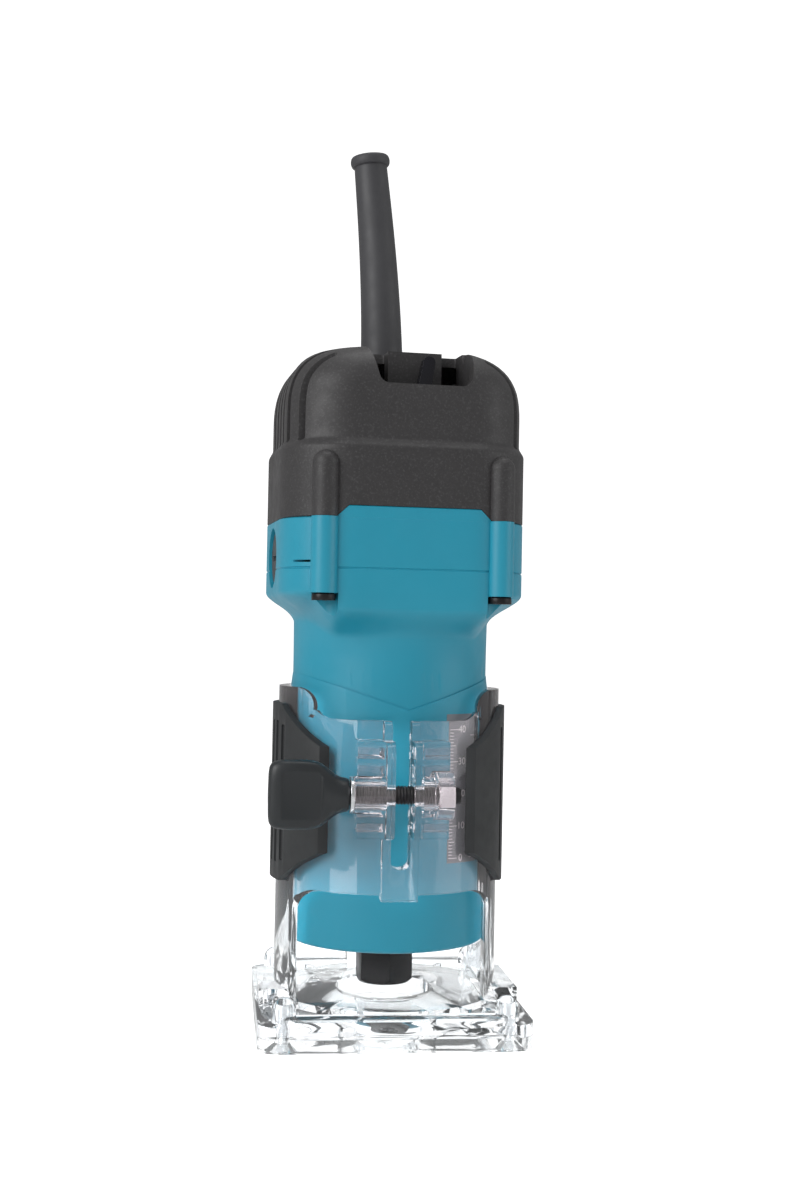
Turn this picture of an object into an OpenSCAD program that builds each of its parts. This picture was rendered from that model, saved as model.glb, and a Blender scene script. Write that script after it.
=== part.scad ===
// Trim router: a motor unit clamped in a clear moulded base.
// Origin on the spindle axis in the plane of the sole, +Z up, -Y towards the clamp.

/* [Base] */
// Width of the sole, across the clamp
base_w = 85; // [84:0.5:90]
// Depth of the sole, front to back
base_d = 90; // [89:0.5:96]
// Corner radius of the sole and the base plate
corner_r = 7; // [5:0.5:9]
// Thickness of the clear sheet under the base
sheet_t = 4.2; // [3:0.1:5]
// Height of the top of the base plate's ribs and front bar
plate_top = 10.2; // [9.6:0.1:10.8]
// Radius of the cutter opening in the sheet
opening_r = 15.5; // [12:0.5:17]
// Distance of the corner screws from the axis, across and along
screw_x = 34.5; // [34:0.1:36]
screw_y = 37.5; // [37:0.1:39]

/* [Collar] */
// Outer diameter of the motor barrel that the collar clamps
barrel_d = 65; // [64:0.5:66]
// Radial room between the barrel and the collar
collar_gap = 0.35; // [0.3:0.05:0.6]
// Wall thickness of the collar
collar_wall = 3.5; // [3:0.1:4]
// Height of the lower edge of the collar, above the front and rear windows
window_top = 45.9; // [42:0.5:48]
// Half width of the front and rear windows
window_half = 30; // [28:0.5:31]
// Height of the collar at the front and at the sides
collar_front_top = 99.6; // [98:0.2:101]
collar_side_top = 109; // [107:0.2:110]
// Width of the clamping slot and the height where it ends
slot_w = 6; // [5:0.5:7]
slot_bottom = 54.2; // [53:0.2:56]

/* [Clamp] */
// Place of the clamp bolt, which runs along X
bolt_y = -44.5; // [-45:0.1:-44]
bolt_z = 77.7; // [76:0.1:79]
// Outer radius of the bolt's thread
bolt_r = 2.95; // [2.8:0.05:3]
// Size across flats of the clamp nut
nut_flats = 10; // [9:0.5:10]
// Overall height of the wing knob
knob_h = 21; // [18:0.5:24]

/* [Motor] */
// How far the motor is raised above its lowest setting
motor_lift = 17; // [16.6:0.1:40]
// Turn of the motor in the collar, seen from above
motor_turn = 5; // [0:1:5]
// Width and depth of the wide upper housing, and its corner radius
head_w = 79.5; // [78:0.5:80]
head_d = 74; // [73:0.5:75]
head_r = 22; // [21:0.5:23]
// Wall thickness of the mouldings
wall = 3; // [2.6:0.1:3]
// Length of the cord guard above the cover
guard_len = 71.5; // [60:0.5:80]
// Cord radius that the guard takes
cord_r = 3.6; // [3:0.1:4]

/* [Spindle] */
// Bore radius of the collet, for a quarter inch shank
collet_r = 3.175; // [3:0.025:3.175]
// Size across flats of the collet nut
collet_flats = 17; // [16.5:0.5:17]

/* [Hidden] */
$fn = 96;
eps = 0.01;
// base
deck_top = 8;
barrel_r = barrel_d / 2;
collar_in = barrel_r + collar_gap;
collar_out = collar_in + collar_wall;
bar_depth = 7;
boss_top = 15.5;
boss_r = 3.7;
strip_w = 2.6;
lobe_far = 15;
lobe_top = 93.9;
lobe_bottom = 64.5;
lobe_front = -50.4;
rib_t = 2;
guide_z = 20;
guide_hole_r = 3.3;
// motor unit heights, with the motor fully lowered
barrel_bottom = 10.1;
nose_top = 24;
flare_bottom = 110;
head_bottom = 122;
cavity_bottom = 123.2;
split_z = 145.3;
tongue_top = 148.8;
band_top = 167;
shoulder_top = 170.5;
crown_top = 201;
head_boss_x = 28;
head_boss_y = 34.5;
head_boss_r = 4.2;
head_boss_top = 165.8;
brush_z = 133.5;
recess_r = 9.8;
recess_x = 37.2;
pocket_x0 = -11;
pocket_x1 = 17.7;
pocket_y = -14;
pocket_floor = 183;
pocket_lip = 187.5;
pocket_step = -29.5;
tray_t = 2;
vent_first = -26;
vent_step = 7;
vent_w = 2.4;
lever_x = 3.5;
lever_y = -20;
lever_pivot_z = 178;
lever_lean = 10;
lever_len = 19;
// spindle line, with the motor fully lowered
low_bearing_z = 14;
low_bearing = [6, 14, 8];
top_bearing_z = 146;
top_bearing = [4, 11, 7];
fan_z = 27;
core_z = 68;
core_h = 40;
pole_r = 19.3;
window_r = 25.5;
window_y = 12;
baffle_z = 41;
bridge_z = 143.2;
bridge_top = 155.2;
bridge_screw_y = 30.5;
comm_z = 125;
comm_h = 17;
comm_r = 11;
// depth scale, as angles from the front towards +X and heights above the barrel's end
scale_from = 23;
scale_to = 45;
scale_bottom = 27.9;
scale_len = 46.5;
// cord guard
guard_x = -2;
guard_y = 14;
guard_lean = 5.6;
guard_r0 = 7.2;
guard_r1 = 5.5;
guard_rings = 10;
guard_straight = 0.78;
bead = 1.2;
bead_from = 0.95;
clamp_top = 178;
clamp_screw_x = 11;

BASE_NODES = ["clear_base", "sole_sheet", "sole_screws", "grip_left", "grip_right", "clamp_nut"];
CLAMP_NODES = ["clamp_washer", "wing_knob", "clamp_bolt"];
SHELL_NODES = ["motor_housing", "rear_cover", "cover_screws", "cord_guard", "cord_clamp",
    "cord_clamp_screws", "depth_scale", "brush_cap_left", "brush_cap_right"];
MOTOR_NODES = ["brush_holder_left", "brush_holder_right", "carbon_brush_left", "carbon_brush_right",
    "brush_spring_left", "brush_spring_right", "stator_core", "field_coils", "fan_baffle",
    "bearing_bridge", "bridge_screws", "upper_bearing", "lower_bearing", "bearing_retainer",
    "retainer_screws", "toggle_switch", "capacitor"];
ROTOR_NODES = ["armature_shaft", "armature_core", "armature_windings", "commutator", "cooling_fan",
    "upper_inner_race", "lower_inner_race", "collet", "collet_nut", "switch_lever"];

// ---------- shared shapes ----------

module rounded_rect(w, d, r) {
    square([w - 2 * r, d], center = true);
    square([w, d - 2 * r], center = true);
    for (x = [-1, 1], y = [-1, 1])
        translate([x * (w / 2 - r), y * (d / 2 - r)]) circle(r);
}

module plate(w, d, r, z0, z1) {
    translate([0, 0, z0]) linear_extrude(z1 - z0) rounded_rect(w, d, r);
}

module block(x0, x1, y0, y1, z0, z1) {
    translate([x0, y0, z0]) cube([x1 - x0, y1 - y0, z1 - z0]);
}

module ring(r_in, r_out, z0, z1) {
    translate([0, 0, z0]) difference() {
        cylinder(r = r_out, h = z1 - z0);
        translate([0, 0, -1]) cylinder(r = r_in, h = z1 - z0 + 2);
    }
}

module x_rod(r, x0, x1) {
    translate([x0, 0, 0]) rotate([0, 90, 0]) cylinder(r = r, h = x1 - x0);
}

// extrudes an outline drawn in (Y, Z) along X
module along_x(x0, x1) {
    translate([x0, 0, 0]) rotate([90, 0, 90]) linear_extrude(x1 - x0) children();
}

// extrudes an outline drawn in (X, Z) along Y
module along_y(y0, y1) {
    translate([0, y1, 0]) rotate([90, 0, 0]) linear_extrude(y1 - y0) children();
}

module at_corners(x, y) {
    for (i = [-1, 1], j = [-1, 1]) translate([i * x, j * y, 0]) children();
}

module hexagon(flats) circle(r = flats / sqrt(3), $fn = 6);

module in_motor() {
    translate([0, 0, motor_lift]) rotate([0, 0, motor_turn]) children();
}

// round tube along a list of points, with a radius at each point
function unit(v) = v / norm(v);
function way(p, i) = unit(p[min(i + 1, len(p) - 1)] - p[max(i - 1, 0)]);
module sweep(p, r, side_dir, sides) {
    n = len(p);
    rings = [for (i = [0:n - 1])
        let (t = way(p, i), a = unit(cross(t, side_dir)), b = cross(t, a))
        for (k = [0:sides - 1])
            p[i] + r[i] * (cos(360 * k / sides) * a + sin(360 * k / sides) * b)];
    walls = [for (i = [0:n - 2], k = [0:sides - 1])
        let (m = (k + 1) % sides, u = i * sides, v = u + sides)
        each [[u + k, v + m, u + m], [u + k, v + k, v + m]]];
    // fans from the middle of each end
    ends = [for (k = [0:sides - 1])
        let (m = (k + 1) % sides, last = (n - 1) * sides)
        each [[n * sides, k, m], [n * sides + 1, last + m, last + k]]];
    polyhedron(concat(rings, [p[0], p[n - 1]]), concat(walls, ends));
}

// ---------- base ----------

module collar_tube() {
    difference() {
        translate([0, 0, deck_top - eps]) cylinder(r = collar_out, h = collar_side_top - deck_top);
        translate([0, 0, plate_top]) cylinder(r = collar_in, h = collar_side_top);
        // front and rear windows
        along_y(-collar_out - 1, collar_out + 1) window_outline();
        // lower front edge of the mouth
        along_y(-collar_out - 1, 0) mouth_outline();
        // clamping slot
        block(-slot_w / 2, slot_w / 2, -collar_out - 1, 0, slot_bottom + slot_w / 2, collar_side_top + 1);
        translate([0, 0, slot_bottom + slot_w / 2]) rotate([90, 0, 0])
            cylinder(d = slot_w, h = collar_out + 1);
    }
}

module window_outline() {
    r = 7;
    translate([-window_half, plate_top]) square([2 * window_half, window_top - r - plate_top]);
    for (s = [-1, 1]) translate([s * (window_half - r), window_top - r]) circle(r);
    translate([-window_half + r, plate_top]) square([2 * (window_half - r), window_top - plate_top]);
}

module mouth_outline() {
    flat_half = 20;
    rise_half = 30;
    r = (collar_side_top - collar_front_top) / 2 + 1;
    difference() {
        translate([-rise_half, collar_front_top]) square([2 * rise_half, 20]);
        for (s = [-1, 1]) translate([s * (rise_half + 1), collar_side_top - r]) circle(r);
        for (s = [-1, 1]) difference() {
            translate([s * (flat_half + 3), collar_front_top + 1]) square([6, 3], center = true);
            translate([s * flat_half, collar_front_top + r]) circle(r);
        }
    }
}

module lobe(side) {
    mirror([side < 0 ? 1 : 0, 0, 0]) difference() {
        union() {
            // flange beside the slot
            along_x(slot_w / 2, slot_w / 2 + strip_w) flange_outline();
            // stiffening plates and the bolt boss
            for (z = [lobe_top - rib_t, bolt_z + 8.7, bolt_z - 8.7, lobe_bottom])
                block(slot_w / 2 + strip_w - eps, lobe_far - 1, lobe_front + 5, -24, z, z + rib_t);
            block(slot_w / 2 + strip_w - eps, lobe_far - 1, bolt_y - 1.2, bolt_y + 1.2, lobe_bottom, lobe_top);
            translate([0, bolt_y, bolt_z]) x_rod(5.7, slot_w / 2, lobe_far);
            if (side > 0) translate([0, bolt_y, bolt_z]) x_rod(7.4, 9, lobe_far);
        }
        translate([0, 0, deck_top]) cylinder(r = collar_in, h = collar_side_top);
        translate([0, bolt_y, bolt_z]) x_rod(3.3, 0, lobe_far + 5);
        if (side > 0) translate([10.4, bolt_y, bolt_z]) rotate([0, 90, 0])
            linear_extrude(10) hexagon(nut_flats + 0.1);
    }
}

// outline in (Y, Z) of the flange that stands along the slot and widens around the bolt
module flange_outline() {
    r = 4;
    strip_front = -40.3;
    translate([strip_front, slot_bottom]) square([-24 - strip_front, collar_front_top - slot_bottom - 3]);
    translate([strip_front + 3, slot_bottom]) square([-24 - strip_front - 3, collar_front_top - slot_bottom]);
    translate([strip_front + 3, collar_front_top - 3]) circle(3);
    translate([lobe_front, lobe_bottom + r]) square([20, lobe_top - lobe_bottom - 2 * r]);
    translate([lobe_front + r, lobe_bottom]) square([20 - r, lobe_top - lobe_bottom]);
    for (z = [lobe_bottom + r, lobe_top - r]) translate([lobe_front + r, z]) circle(r);
}

module slot_lug() {
    difference() {
        block(-5.6, 5.6, -40.3, -24, window_top - 1.3, slot_bottom + 8);
        translate([0, 0, deck_top]) cylinder(r = collar_in, h = collar_side_top);
        block(-slot_w / 2, slot_w / 2, -45, -20, slot_bottom + slot_w / 2, slot_bottom + 20);
        translate([0, -20, slot_bottom + slot_w / 2]) rotate([90, 0, 0]) cylinder(d = slot_w, h = 30);
    }
}

module base_ribs() {
    // front and rear bars, hub ring, spokes and channel walls between the deck and the plate top
    for (s = [-1, 1]) block(-base_w / 2 + corner_r, base_w / 2 - corner_r,
        s > 0 ? base_d / 2 - bar_depth : -base_d / 2, s > 0 ? base_d / 2 : -base_d / 2 + bar_depth,
        deck_top - eps, plate_top);
    ring(opening_r, opening_r + 3, deck_top - eps, plate_top);
    for (a = [35, 55, 125, 145, 215, 235, 305, 325]) rotate([0, 0, a])
        block(opening_r, 41, -0.9, 0.9, deck_top - eps, plate_top);
    for (s = [-1, 1]) block(s * 11 - 0.9, s * 11 + 0.9, -base_d / 2 + bar_depth - eps, -opening_r + 4,
        deck_top - eps, plate_top);
    // flared feet of the two columns
    for (s = [-1, 1]) block(s > 0 ? window_half : -base_w / 2 + 1, s > 0 ? base_w / 2 - 1 : -window_half,
        -17, 17, deck_top - eps, plate_top + 3);
}

module clear_base() {
    color([0.86, 0.92, 0.95, 0.4]) difference() {
        union() {
            intersection() {
                union() {
                    plate(base_w, base_d, corner_r, sheet_t, deck_top);
                    base_ribs();
                }
                plate(base_w, base_d, corner_r, sheet_t, plate_top + 3);
            }
            at_corners(screw_x, screw_y) {
                translate([0, 0, deck_top - eps]) cylinder(r = boss_r, h = boss_top - boss_r - deck_top);
                translate([0, 0, boss_top - boss_r]) sphere(boss_r);
            }
            collar_tube();
            lobe(-1);
            lobe(1);
            slot_lug();
            // rear lug that takes a guide's clamp screw
            block(-9, 9, base_d / 2 - 8, base_d / 2, plate_top - eps, guide_z + 8);
        }
        translate([0, 0, -1]) cylinder(r = opening_r + 0.3, h = plate_top + 5);
        at_corners(screw_x, screw_y) cylinder(r = 1.85, h = 13.2);
        translate([0, base_d / 2 - 9, guide_z]) rotate([-90, 0, 0]) cylinder(r = guide_hole_r, h = 10);
        translate([0, 0, plate_top + 0.2]) cylinder(r = collar_in, h = window_top - plate_top);
    }
}

module sole_sheet() {
    color([0.84, 0.9, 0.93, 0.4]) difference() {
        plate(base_w, base_d, corner_r, 0, sheet_t);
        translate([0, 0, -1]) cylinder(r = opening_r, h = sheet_t + 2);
        at_corners(screw_x, screw_y) {
            translate([0, 0, -1]) cylinder(r = 2.1, h = sheet_t + 2);
            translate([0, 0, -eps]) cylinder(r1 = 4.2, r2 = 2.1, h = 2.2);
        }
    }
}

module sole_screws() {
    color([0.62, 0.63, 0.65]) at_corners(screw_x, screw_y) difference() {
        union() {
            translate([0, 0, 0.3]) cylinder(r1 = 3.8, r2 = 1.8, h = 2);
            translate([0, 0, 2]) cylinder(r = 1.8, h = 11);
        }
        for (a = [0, 90]) rotate([0, 0, a]) block(-2, 2, -0.35, 0.35, 0, 1.3);
    }
}

module grip(side) {
    groove_step = 9;
    color([0.13, 0.14, 0.15]) mirror([side < 0 ? 1 : 0, 0, 0]) difference() {
        intersection() {
            ring(collar_out + 0.05, collar_out + 1.95, 40, 110);
            along_x(22, 45) polygon([[-29.3, 58], [-13, 47], [13, 47], [29.3, 58],
                [29.3, 91], [13, 103.5], [-13, 103.5], [-29.3, 91]]);
        }
        for (a = [-4:4]) rotate([0, 0, a * groove_step])
            translate([collar_out + 2.3, 0, 40]) cylinder(r = 1, h = 70, $fn = 24);
    }
}
module grip_left() grip(-1);
module grip_right() grip(1);

module clamp_nut() {
    color([0.75, 0.76, 0.78]) translate([10.5, bolt_y, bolt_z]) rotate([0, 90, 0]) difference() {
        intersection() {
            linear_extrude(4.8) hexagon(nut_flats);
            rotate_extrude() polygon([[0, 0], [5.1, 0], [5.8, 0.6], [5.8, 4.2], [5.1, 4.8], [0, 4.8]]);
        }
        translate([0, 0, -1]) cylinder(r = bolt_r + 0.07, h = 7);
    }
}

// ---------- clamp ----------

module clamp_washer() {
    color([0.7, 0.71, 0.73]) translate([-lobe_far - 1.3, bolt_y, bolt_z]) rotate([0, 90, 0])
        ring(bolt_r + 0.08, 5.6, 0, 1.2);
}

module clamp_bolt() {
    pitch = 1;
    start = -32;
    length = 49.5;
    smooth = 14;
    ridges = [for (i = [0:floor((length - smooth - 2) / pitch)])
        let (z = smooth + i * pitch) each [[bolt_r - 0.45, z], [bolt_r, z + pitch / 2]]];
    color([0.12, 0.12, 0.13]) translate([start, bolt_y, bolt_z]) rotate([0, 90, 0])
        rotate_extrude($fn = 48) polygon(concat([[0, 0], [bolt_r, 0], [bolt_r, smooth - 0.5]], ridges,
            [[bolt_r - 0.7, length], [0, length]]));
}

module wing_knob() {
    neck_x = -lobe_far - 1.4;
    far_x = -41;
    color([0.09, 0.1, 0.11]) translate([0, bolt_y, bolt_z]) difference() {
        union() {
            x_rod(5.2, -24, neck_x);
            translate([far_x + 8.5, 0, 0]) along_y(-3.5, 3.5) rounded_rect(17, knob_h, 5);
            hull() {
                translate([-25, 0, 0]) rotate([0, 90, 0]) cylinder(r = 3.4, h = 0.5, $fn = 32);
                translate([-26, 0, 0]) along_y(-3.4, 3.4) rounded_rect(2, knob_h - 6, 0.9);
                translate([-20, 0, 0]) rotate([0, 90, 0]) cylinder(r = 5.1, h = 1.5, $fn = 32);
            }
        }
        x_rod(bolt_r + 0.02, -32.1, 0);
    }
}

// ---------- motor shells ----------

module tongue_outline(grow) {
    polygon([[-24.5 - grow, split_z - 1], [24.5 + grow, split_z - 1], [24.5 + grow, split_z],
        [20.8 + grow, tongue_top + grow], [-20.8 - grow, tongue_top + grow], [-24.5 - grow, split_z]]);
}

module head_bosses(z0, z1) {
    at_corners(head_boss_x, head_boss_y) translate([0, 0, z0]) cylinder(r = head_boss_r, h = z1 - z0);
}

module housing_solid() {
    translate([0, 0, barrel_bottom]) rotate_extrude() polygon(concat([[0, 0]],
        [for (a = [0:15:90]) [barrel_r - 1.5 + 1.5 * sin(a), 1.5 - 1.5 * cos(a)]],
        [[barrel_r, flare_bottom - barrel_bottom + 1], [0, flare_bottom - barrel_bottom + 1]]));
    hull() {
        translate([0, 0, flare_bottom]) cylinder(r = barrel_r, h = 0.1, $fn = 64);
        translate([0, 0, head_bottom - 0.1]) linear_extrude(0.1, $fn = 48)
            rounded_rect(head_w, head_d, head_r);
    }
    plate(head_w, head_d, head_r, head_bottom - 0.1, split_z);
    head_bosses(head_bottom, split_z);
    intersection() {
        plate(head_w, head_d, head_r, split_z - 1, tongue_top);
        along_y(-head_d, head_d) tongue_outline(0);
    }
}

module motor_housing() {
    color([0.09, 0.5, 0.62]) in_motor() difference() {
        union() {
            difference() {
                housing_solid();
                // barrel cavity and head cavity
                translate([0, 0, nose_top]) cylinder(r = barrel_r - wall, h = cavity_bottom - nose_top + 1);
                plate(head_w - 2 * wall, head_d - 2 * wall, head_r - wall, cavity_bottom, split_z + 10);
            }
            // ledges that carry the bearing bridge
            for (s = [-1, 1]) block(-13, 13, s > 0 ? 27 : -34.5, s > 0 ? 34.5 : -27, 139, bridge_z);
            // bosses around the brush holders
            for (s = [-1, 1]) translate([0, 0, brush_z])
                x_rod(10.6, s > 0 ? 30 : -recess_x, s > 0 ? recess_x : -30);
        }
        // spindle hole, bearing seat and cooling air outlets in the nose
        translate([0, 0, barrel_bottom - 1]) cylinder(r = 10, h = 10);
        translate([0, 0, low_bearing_z - eps]) cylinder(r = low_bearing[1] + 0.02, h = 20);
        for (a = [0:30:330]) rotate([0, 0, a + 15])
            translate([22.5, 0, barrel_bottom - 1]) cylinder(r = 3.4, h = 20, $fn = 32);
        for (a = [0, 120, 240]) rotate([0, 0, a]) translate([16.8, 0, nose_top - 8])
            cylinder(r = 1.3, h = 9, $fn = 24);
        // brush cap recesses and holder bores
        for (s = [-1, 1]) translate([0, 0, brush_z]) {
            x_rod(recess_r, s > 0 ? recess_x : -50, s > 0 ? 50 : -recess_x);
            x_rod(7.1, s > 0 ? 20 : -50, s > 0 ? 50 : -20);
        }
        // cover screw holes, head pockets and the channels below them
        at_corners(head_boss_x, head_boss_y) {
            translate([0, 0, head_bottom - 1]) cylinder(r = 2.1, h = 40);
            translate([0, 0, flare_bottom - 8]) cylinder(r = 4.3, h = head_bottom - flare_bottom + 8);
        }
        for (s = [-1, 1]) translate([0, s * bridge_screw_y, 133]) cylinder(r = 1.3, h = 12, $fn = 24);
        // shallow seat for the depth scale
        scale_band(barrel_r - 0.32, barrel_r + 1, 0.05);
    }
}

module cover_profile_x(inset) {
    half = 38.5 - inset;
    top = crown_top - inset;
    // superellipse shoulder from the side wall to the crown
    polygon(concat([[-half, band_top - 20], [half, band_top - 20]],
        [for (a = [0:7.5:90]) [half - 18 + 18 * pow(cos(a), 0.85), top - 22 + 22 * pow(sin(a), 0.85)]],
        [for (a = [90:-7.5:0]) [-half + 18 - 18 * pow(cos(a), 0.85), top - 22 + 22 * pow(sin(a), 0.85)]]));
}

module cover_profile_y(inset) {
    half = 34.5 - inset;
    top = crown_top - inset;
    crease = 186;
    polygon(concat([[-half, band_top - 20], [half, band_top - 20]],
        [for (a = [0:9:90]) [half - 13 + 13 * cos(a), crease + (top - crease) * sin(a)]],
        [for (a = [90:-9:0]) [-half + 13 - 13 * cos(a), crease + (top - crease) * sin(a)]]));
}

module cover_upper(inset) {
    intersection() {
        along_y(-50, 50) cover_profile_x(inset);
        along_x(-50, 50) cover_profile_y(inset);
        plate(77 - 2 * inset, 69 - 2 * inset, head_r - 1.5 - inset, band_top - 15, crown_top - inset);
    }
}

module cover_lower(inset) {
    plate(head_w - 2 * inset, head_d - 2 * inset, head_r - inset, split_z - (inset > 0 ? 1 : 0), band_top);
    hull() {
        translate([0, 0, band_top - 0.1]) linear_extrude(0.1, $fn = 48)
            rounded_rect(head_w - 2 * inset, head_d - 2 * inset, head_r - inset);
        translate([0, 0, shoulder_top]) linear_extrude(0.1, $fn = 48)
            rounded_rect(77 - 2 * inset, 69 - 2 * inset, head_r - 1.5 - inset);
    }
}

module pocket_space(grow) {
    block(pocket_x0 - grow, pocket_x1 + grow, -60, pocket_y + grow, pocket_lip - 1.5 * grow, 220);
    block(pocket_x0 - grow, pocket_x1 + grow, pocket_step - grow, pocket_y + grow, pocket_floor - grow, 220);
}

module rear_cover() {
    color([0.2, 0.2, 0.21]) in_motor() difference() {
        union() {
            difference() {
                union() {
                    cover_lower(0);
                    cover_upper(0);
                    head_bosses(split_z, head_boss_top - head_boss_r);
                    at_corners(head_boss_x, head_boss_y)
                        translate([0, 0, head_boss_top - head_boss_r]) sphere(head_boss_r);
                }
                cover_lower(wall);
                cover_upper(wall);
                along_y(-60, 60) tongue_outline(0.05);
                // vent slots over both shoulders
                for (s = [-1, 1], i = [0:6])
                    let (y = vent_first + i * vent_step)
                        block(s > 0 ? 24 : -60, s > 0 ? 60 : -24, y - vent_w / 2, y + vent_w / 2,
                            shoulder_top - 1.5, crown_top + 1);
            }
            // tray of the switch pocket
            intersection() {
                cover_upper(0);
                pocket_space(tray_t);
            }
            // inner columns for the cover screws
            intersection() {
                cover_lower(0.5);
                head_bosses(tongue_top + 0.2, band_top - 1);
            }
            // seat of the cord guard, with two posts for the cord clamp
            translate([guard_x, guard_y, crown_top - 16]) cylinder(r = 12, h = 15);
            for (s = [-1, 1]) translate([guard_x + s * clamp_screw_x, guard_y, clamp_top])
                cylinder(r = 3.4, h = 8);
        }
        pocket_space(0);
        // lever window in the pocket floor
        block(lever_x - 9, lever_x + 9, lever_y - 3.2, lever_y + 3.2, pocket_floor - 5, pocket_floor + 1);
        at_corners(head_boss_x, head_boss_y) cylinder(r = 1.85, h = head_boss_top - 3);
        for (s = [-1, 1]) translate([guard_x + s * clamp_screw_x, guard_y, clamp_top - 1])
            cylinder(r = 1.77, h = 7, $fn = 32);
        // stepped bore of the cord guard
        translate([guard_x, guard_y, crown_top - 17]) cylinder(r = guard_r0 + 0.05, h = 20);
        translate([guard_x, guard_y, crown_top - 12]) cylinder(r = 9.55, h = 5);
    }
}

module cover_screws() {
    color([0.25, 0.25, 0.27]) in_motor() at_corners(head_boss_x, head_boss_y) difference() {
        union() {
            translate([0, 0, head_bottom - 2.6]) cylinder(r = 3.7, h = 1.8);
            translate([0, 0, head_bottom - 0.8 - eps]) cylinder(r1 = 3.7, r2 = 3.2, h = 0.8);
            translate([0, 0, head_bottom - 1]) cylinder(r = 1.8, h = 41);
        }
        for (a = [0, 90]) rotate([0, 0, a]) block(-2.2, 2.2, -0.4, 0.4, head_bottom - 3, head_bottom - 1.4);
    }
}

function guard_off(s) = s < guard_straight ? pow(s, 1.6)
    : pow(guard_straight, 1.6) + 1.6 * pow(guard_straight, 0.6) * (s - guard_straight);
function guard_point(s) = [guard_x - guard_lean * guard_off(s), guard_y, crown_top + guard_len * s];
function guard_radius(s) = (s > bead_from ? bead : 0) + guard_r0 + (guard_r1 - guard_r0) * s;
guard_slope = guard_lean * 1.6 * pow(guard_straight, 0.6) / guard_len;
guard_tilt = atan(guard_slope);
guard_bends = [for (i = [0:guard_rings]) guard_straight * i / guard_rings];

module cord_guard() {
    root = [guard_x, guard_y, crown_top - 17];
    stops = concat(guard_bends, [bead_from, bead_from + 0.015, 1]);
    color([0.2, 0.2, 0.21]) in_motor() difference() {
        union() {
            sweep(concat([root], [for (s = stops) guard_point(s)]),
                concat([guard_r0], [for (s = stops) guard_radius(s)]), [0, 1, 0], 24);
            translate([guard_x, guard_y, crown_top - 11.9]) cylinder(r = 9.5, h = 4.8);
        }
        // straight bore at the free end, then a bent one down to the cover
        translate(guard_point(1)) rotate([0, -guard_tilt, 0])
            translate([0, 0, -15]) cylinder(r = cord_r, h = 20);
        sweep(concat([root - [0, 0, 3]], [for (s = guard_bends) guard_point(s)], [guard_point(0.85)]),
            [for (i = [0:guard_rings + 2]) cord_r - 0.05], [0, 1, 0], 16);
    }
}

module cord_clamp() {
    color([0.16, 0.16, 0.17]) in_motor() difference() {
        block(guard_x - 15, guard_x + 15, guard_y - 4, guard_y + 4, clamp_top - 5, clamp_top);
        translate([guard_x, guard_y, 171.5]) rotate([90, 0, 0]) cylinder(r = cord_r, h = 20, center = true);
        for (s = [-1, 1]) translate([guard_x + s * clamp_screw_x, guard_y, 170])
            cylinder(r = 1.9, h = 12, $fn = 32);
    }
}

module cord_clamp_screws() {
    color([0.7, 0.71, 0.73]) in_motor() for (s = [-1, 1])
        translate([guard_x + s * clamp_screw_x, guard_y, clamp_top]) {
            translate([0, 0, -7.2]) cylinder(r = 3.2, h = 2.1, $fn = 32);
            translate([0, 0, -6]) cylinder(r = 1.75, h = 10.8, $fn = 32);
        }
}

module scale_band(r0, r1, grow) {
    z0 = barrel_bottom + scale_bottom;
    intersection() {
        ring(r0, r1, z0 - grow, z0 + scale_len + grow);
        rotate([0, 0, scale_from - 90]) block(0, 50, -grow, 50, 0, 200);
        rotate([0, 0, scale_to - 90]) block(0, 50, -50, grow, 0, 200);
    }
}

module depth_scale() {
    color([0.45, 0.47, 0.49]) in_motor() scale_band(barrel_r - 0.3, barrel_r - 0.02, 0);
}

module brush_cap(side) {
    color([0.08, 0.08, 0.09]) in_motor() mirror([side < 0 ? 1 : 0, 0, 0]) translate([0, 0, brush_z])
        difference() {
            union() {
                x_rod(6.4, 33.2, recess_x);
                x_rod(8.4, recess_x + 0.02, recess_x + 1.7);
            }
            block(recess_x + 0.7, recess_x + 3, -6.5, 6.5, -0.8, 0.8);
        }
}
module brush_cap_left() brush_cap(-1);
module brush_cap_right() brush_cap(1);

// ---------- motor insides ----------

module brush_holder(side) {
    color([0.8, 0.62, 0.25]) in_motor() mirror([side < 0 ? 1 : 0, 0, 0]) translate([0, 0, brush_z])
        difference() {
            union() {
                block(13, 33, -4.6, 4.6, -4.1, 4.1);
                x_rod(7.05, 24, 33);
            }
            block(12, 34, -3.3, 3.3, -2.8, 2.8);
        }
}
module brush_holder_left() brush_holder(-1);
module brush_holder_right() brush_holder(1);

module carbon_brush(side) {
    color([0.15, 0.15, 0.16]) in_motor() mirror([side < 0 ? 1 : 0, 0, 0]) translate([0, 0, brush_z])
        difference() {
            block(comm_r, 24, -3.2, 3.2, -2.7, 2.7);
            cylinder(r = comm_r + 0.06, h = 20, center = true);
        }
}
module carbon_brush_left() carbon_brush(-1);
module carbon_brush_right() carbon_brush(1);

module brush_spring(side) {
    turns = 5;
    per_turn = 10;
    wire = 0.3;
    x0 = 24.35;
    x1 = 32.8;
    count = turns * per_turn;
    points = [for (i = [0:count]) [x0 + (x1 - x0) * i / count,
        2.1 * cos(360 * i / per_turn), 2.1 * sin(360 * i / per_turn)]];
    color([0.75, 0.75, 0.77]) in_motor() mirror([side < 0 ? 1 : 0, 0, 0]) translate([0, 0, brush_z])
        sweep(points, [for (i = [0:count]) wire], [1, 0, 0], 6);
}
module brush_spring_left() brush_spring(-1);
module brush_spring_right() brush_spring(1);

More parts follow.
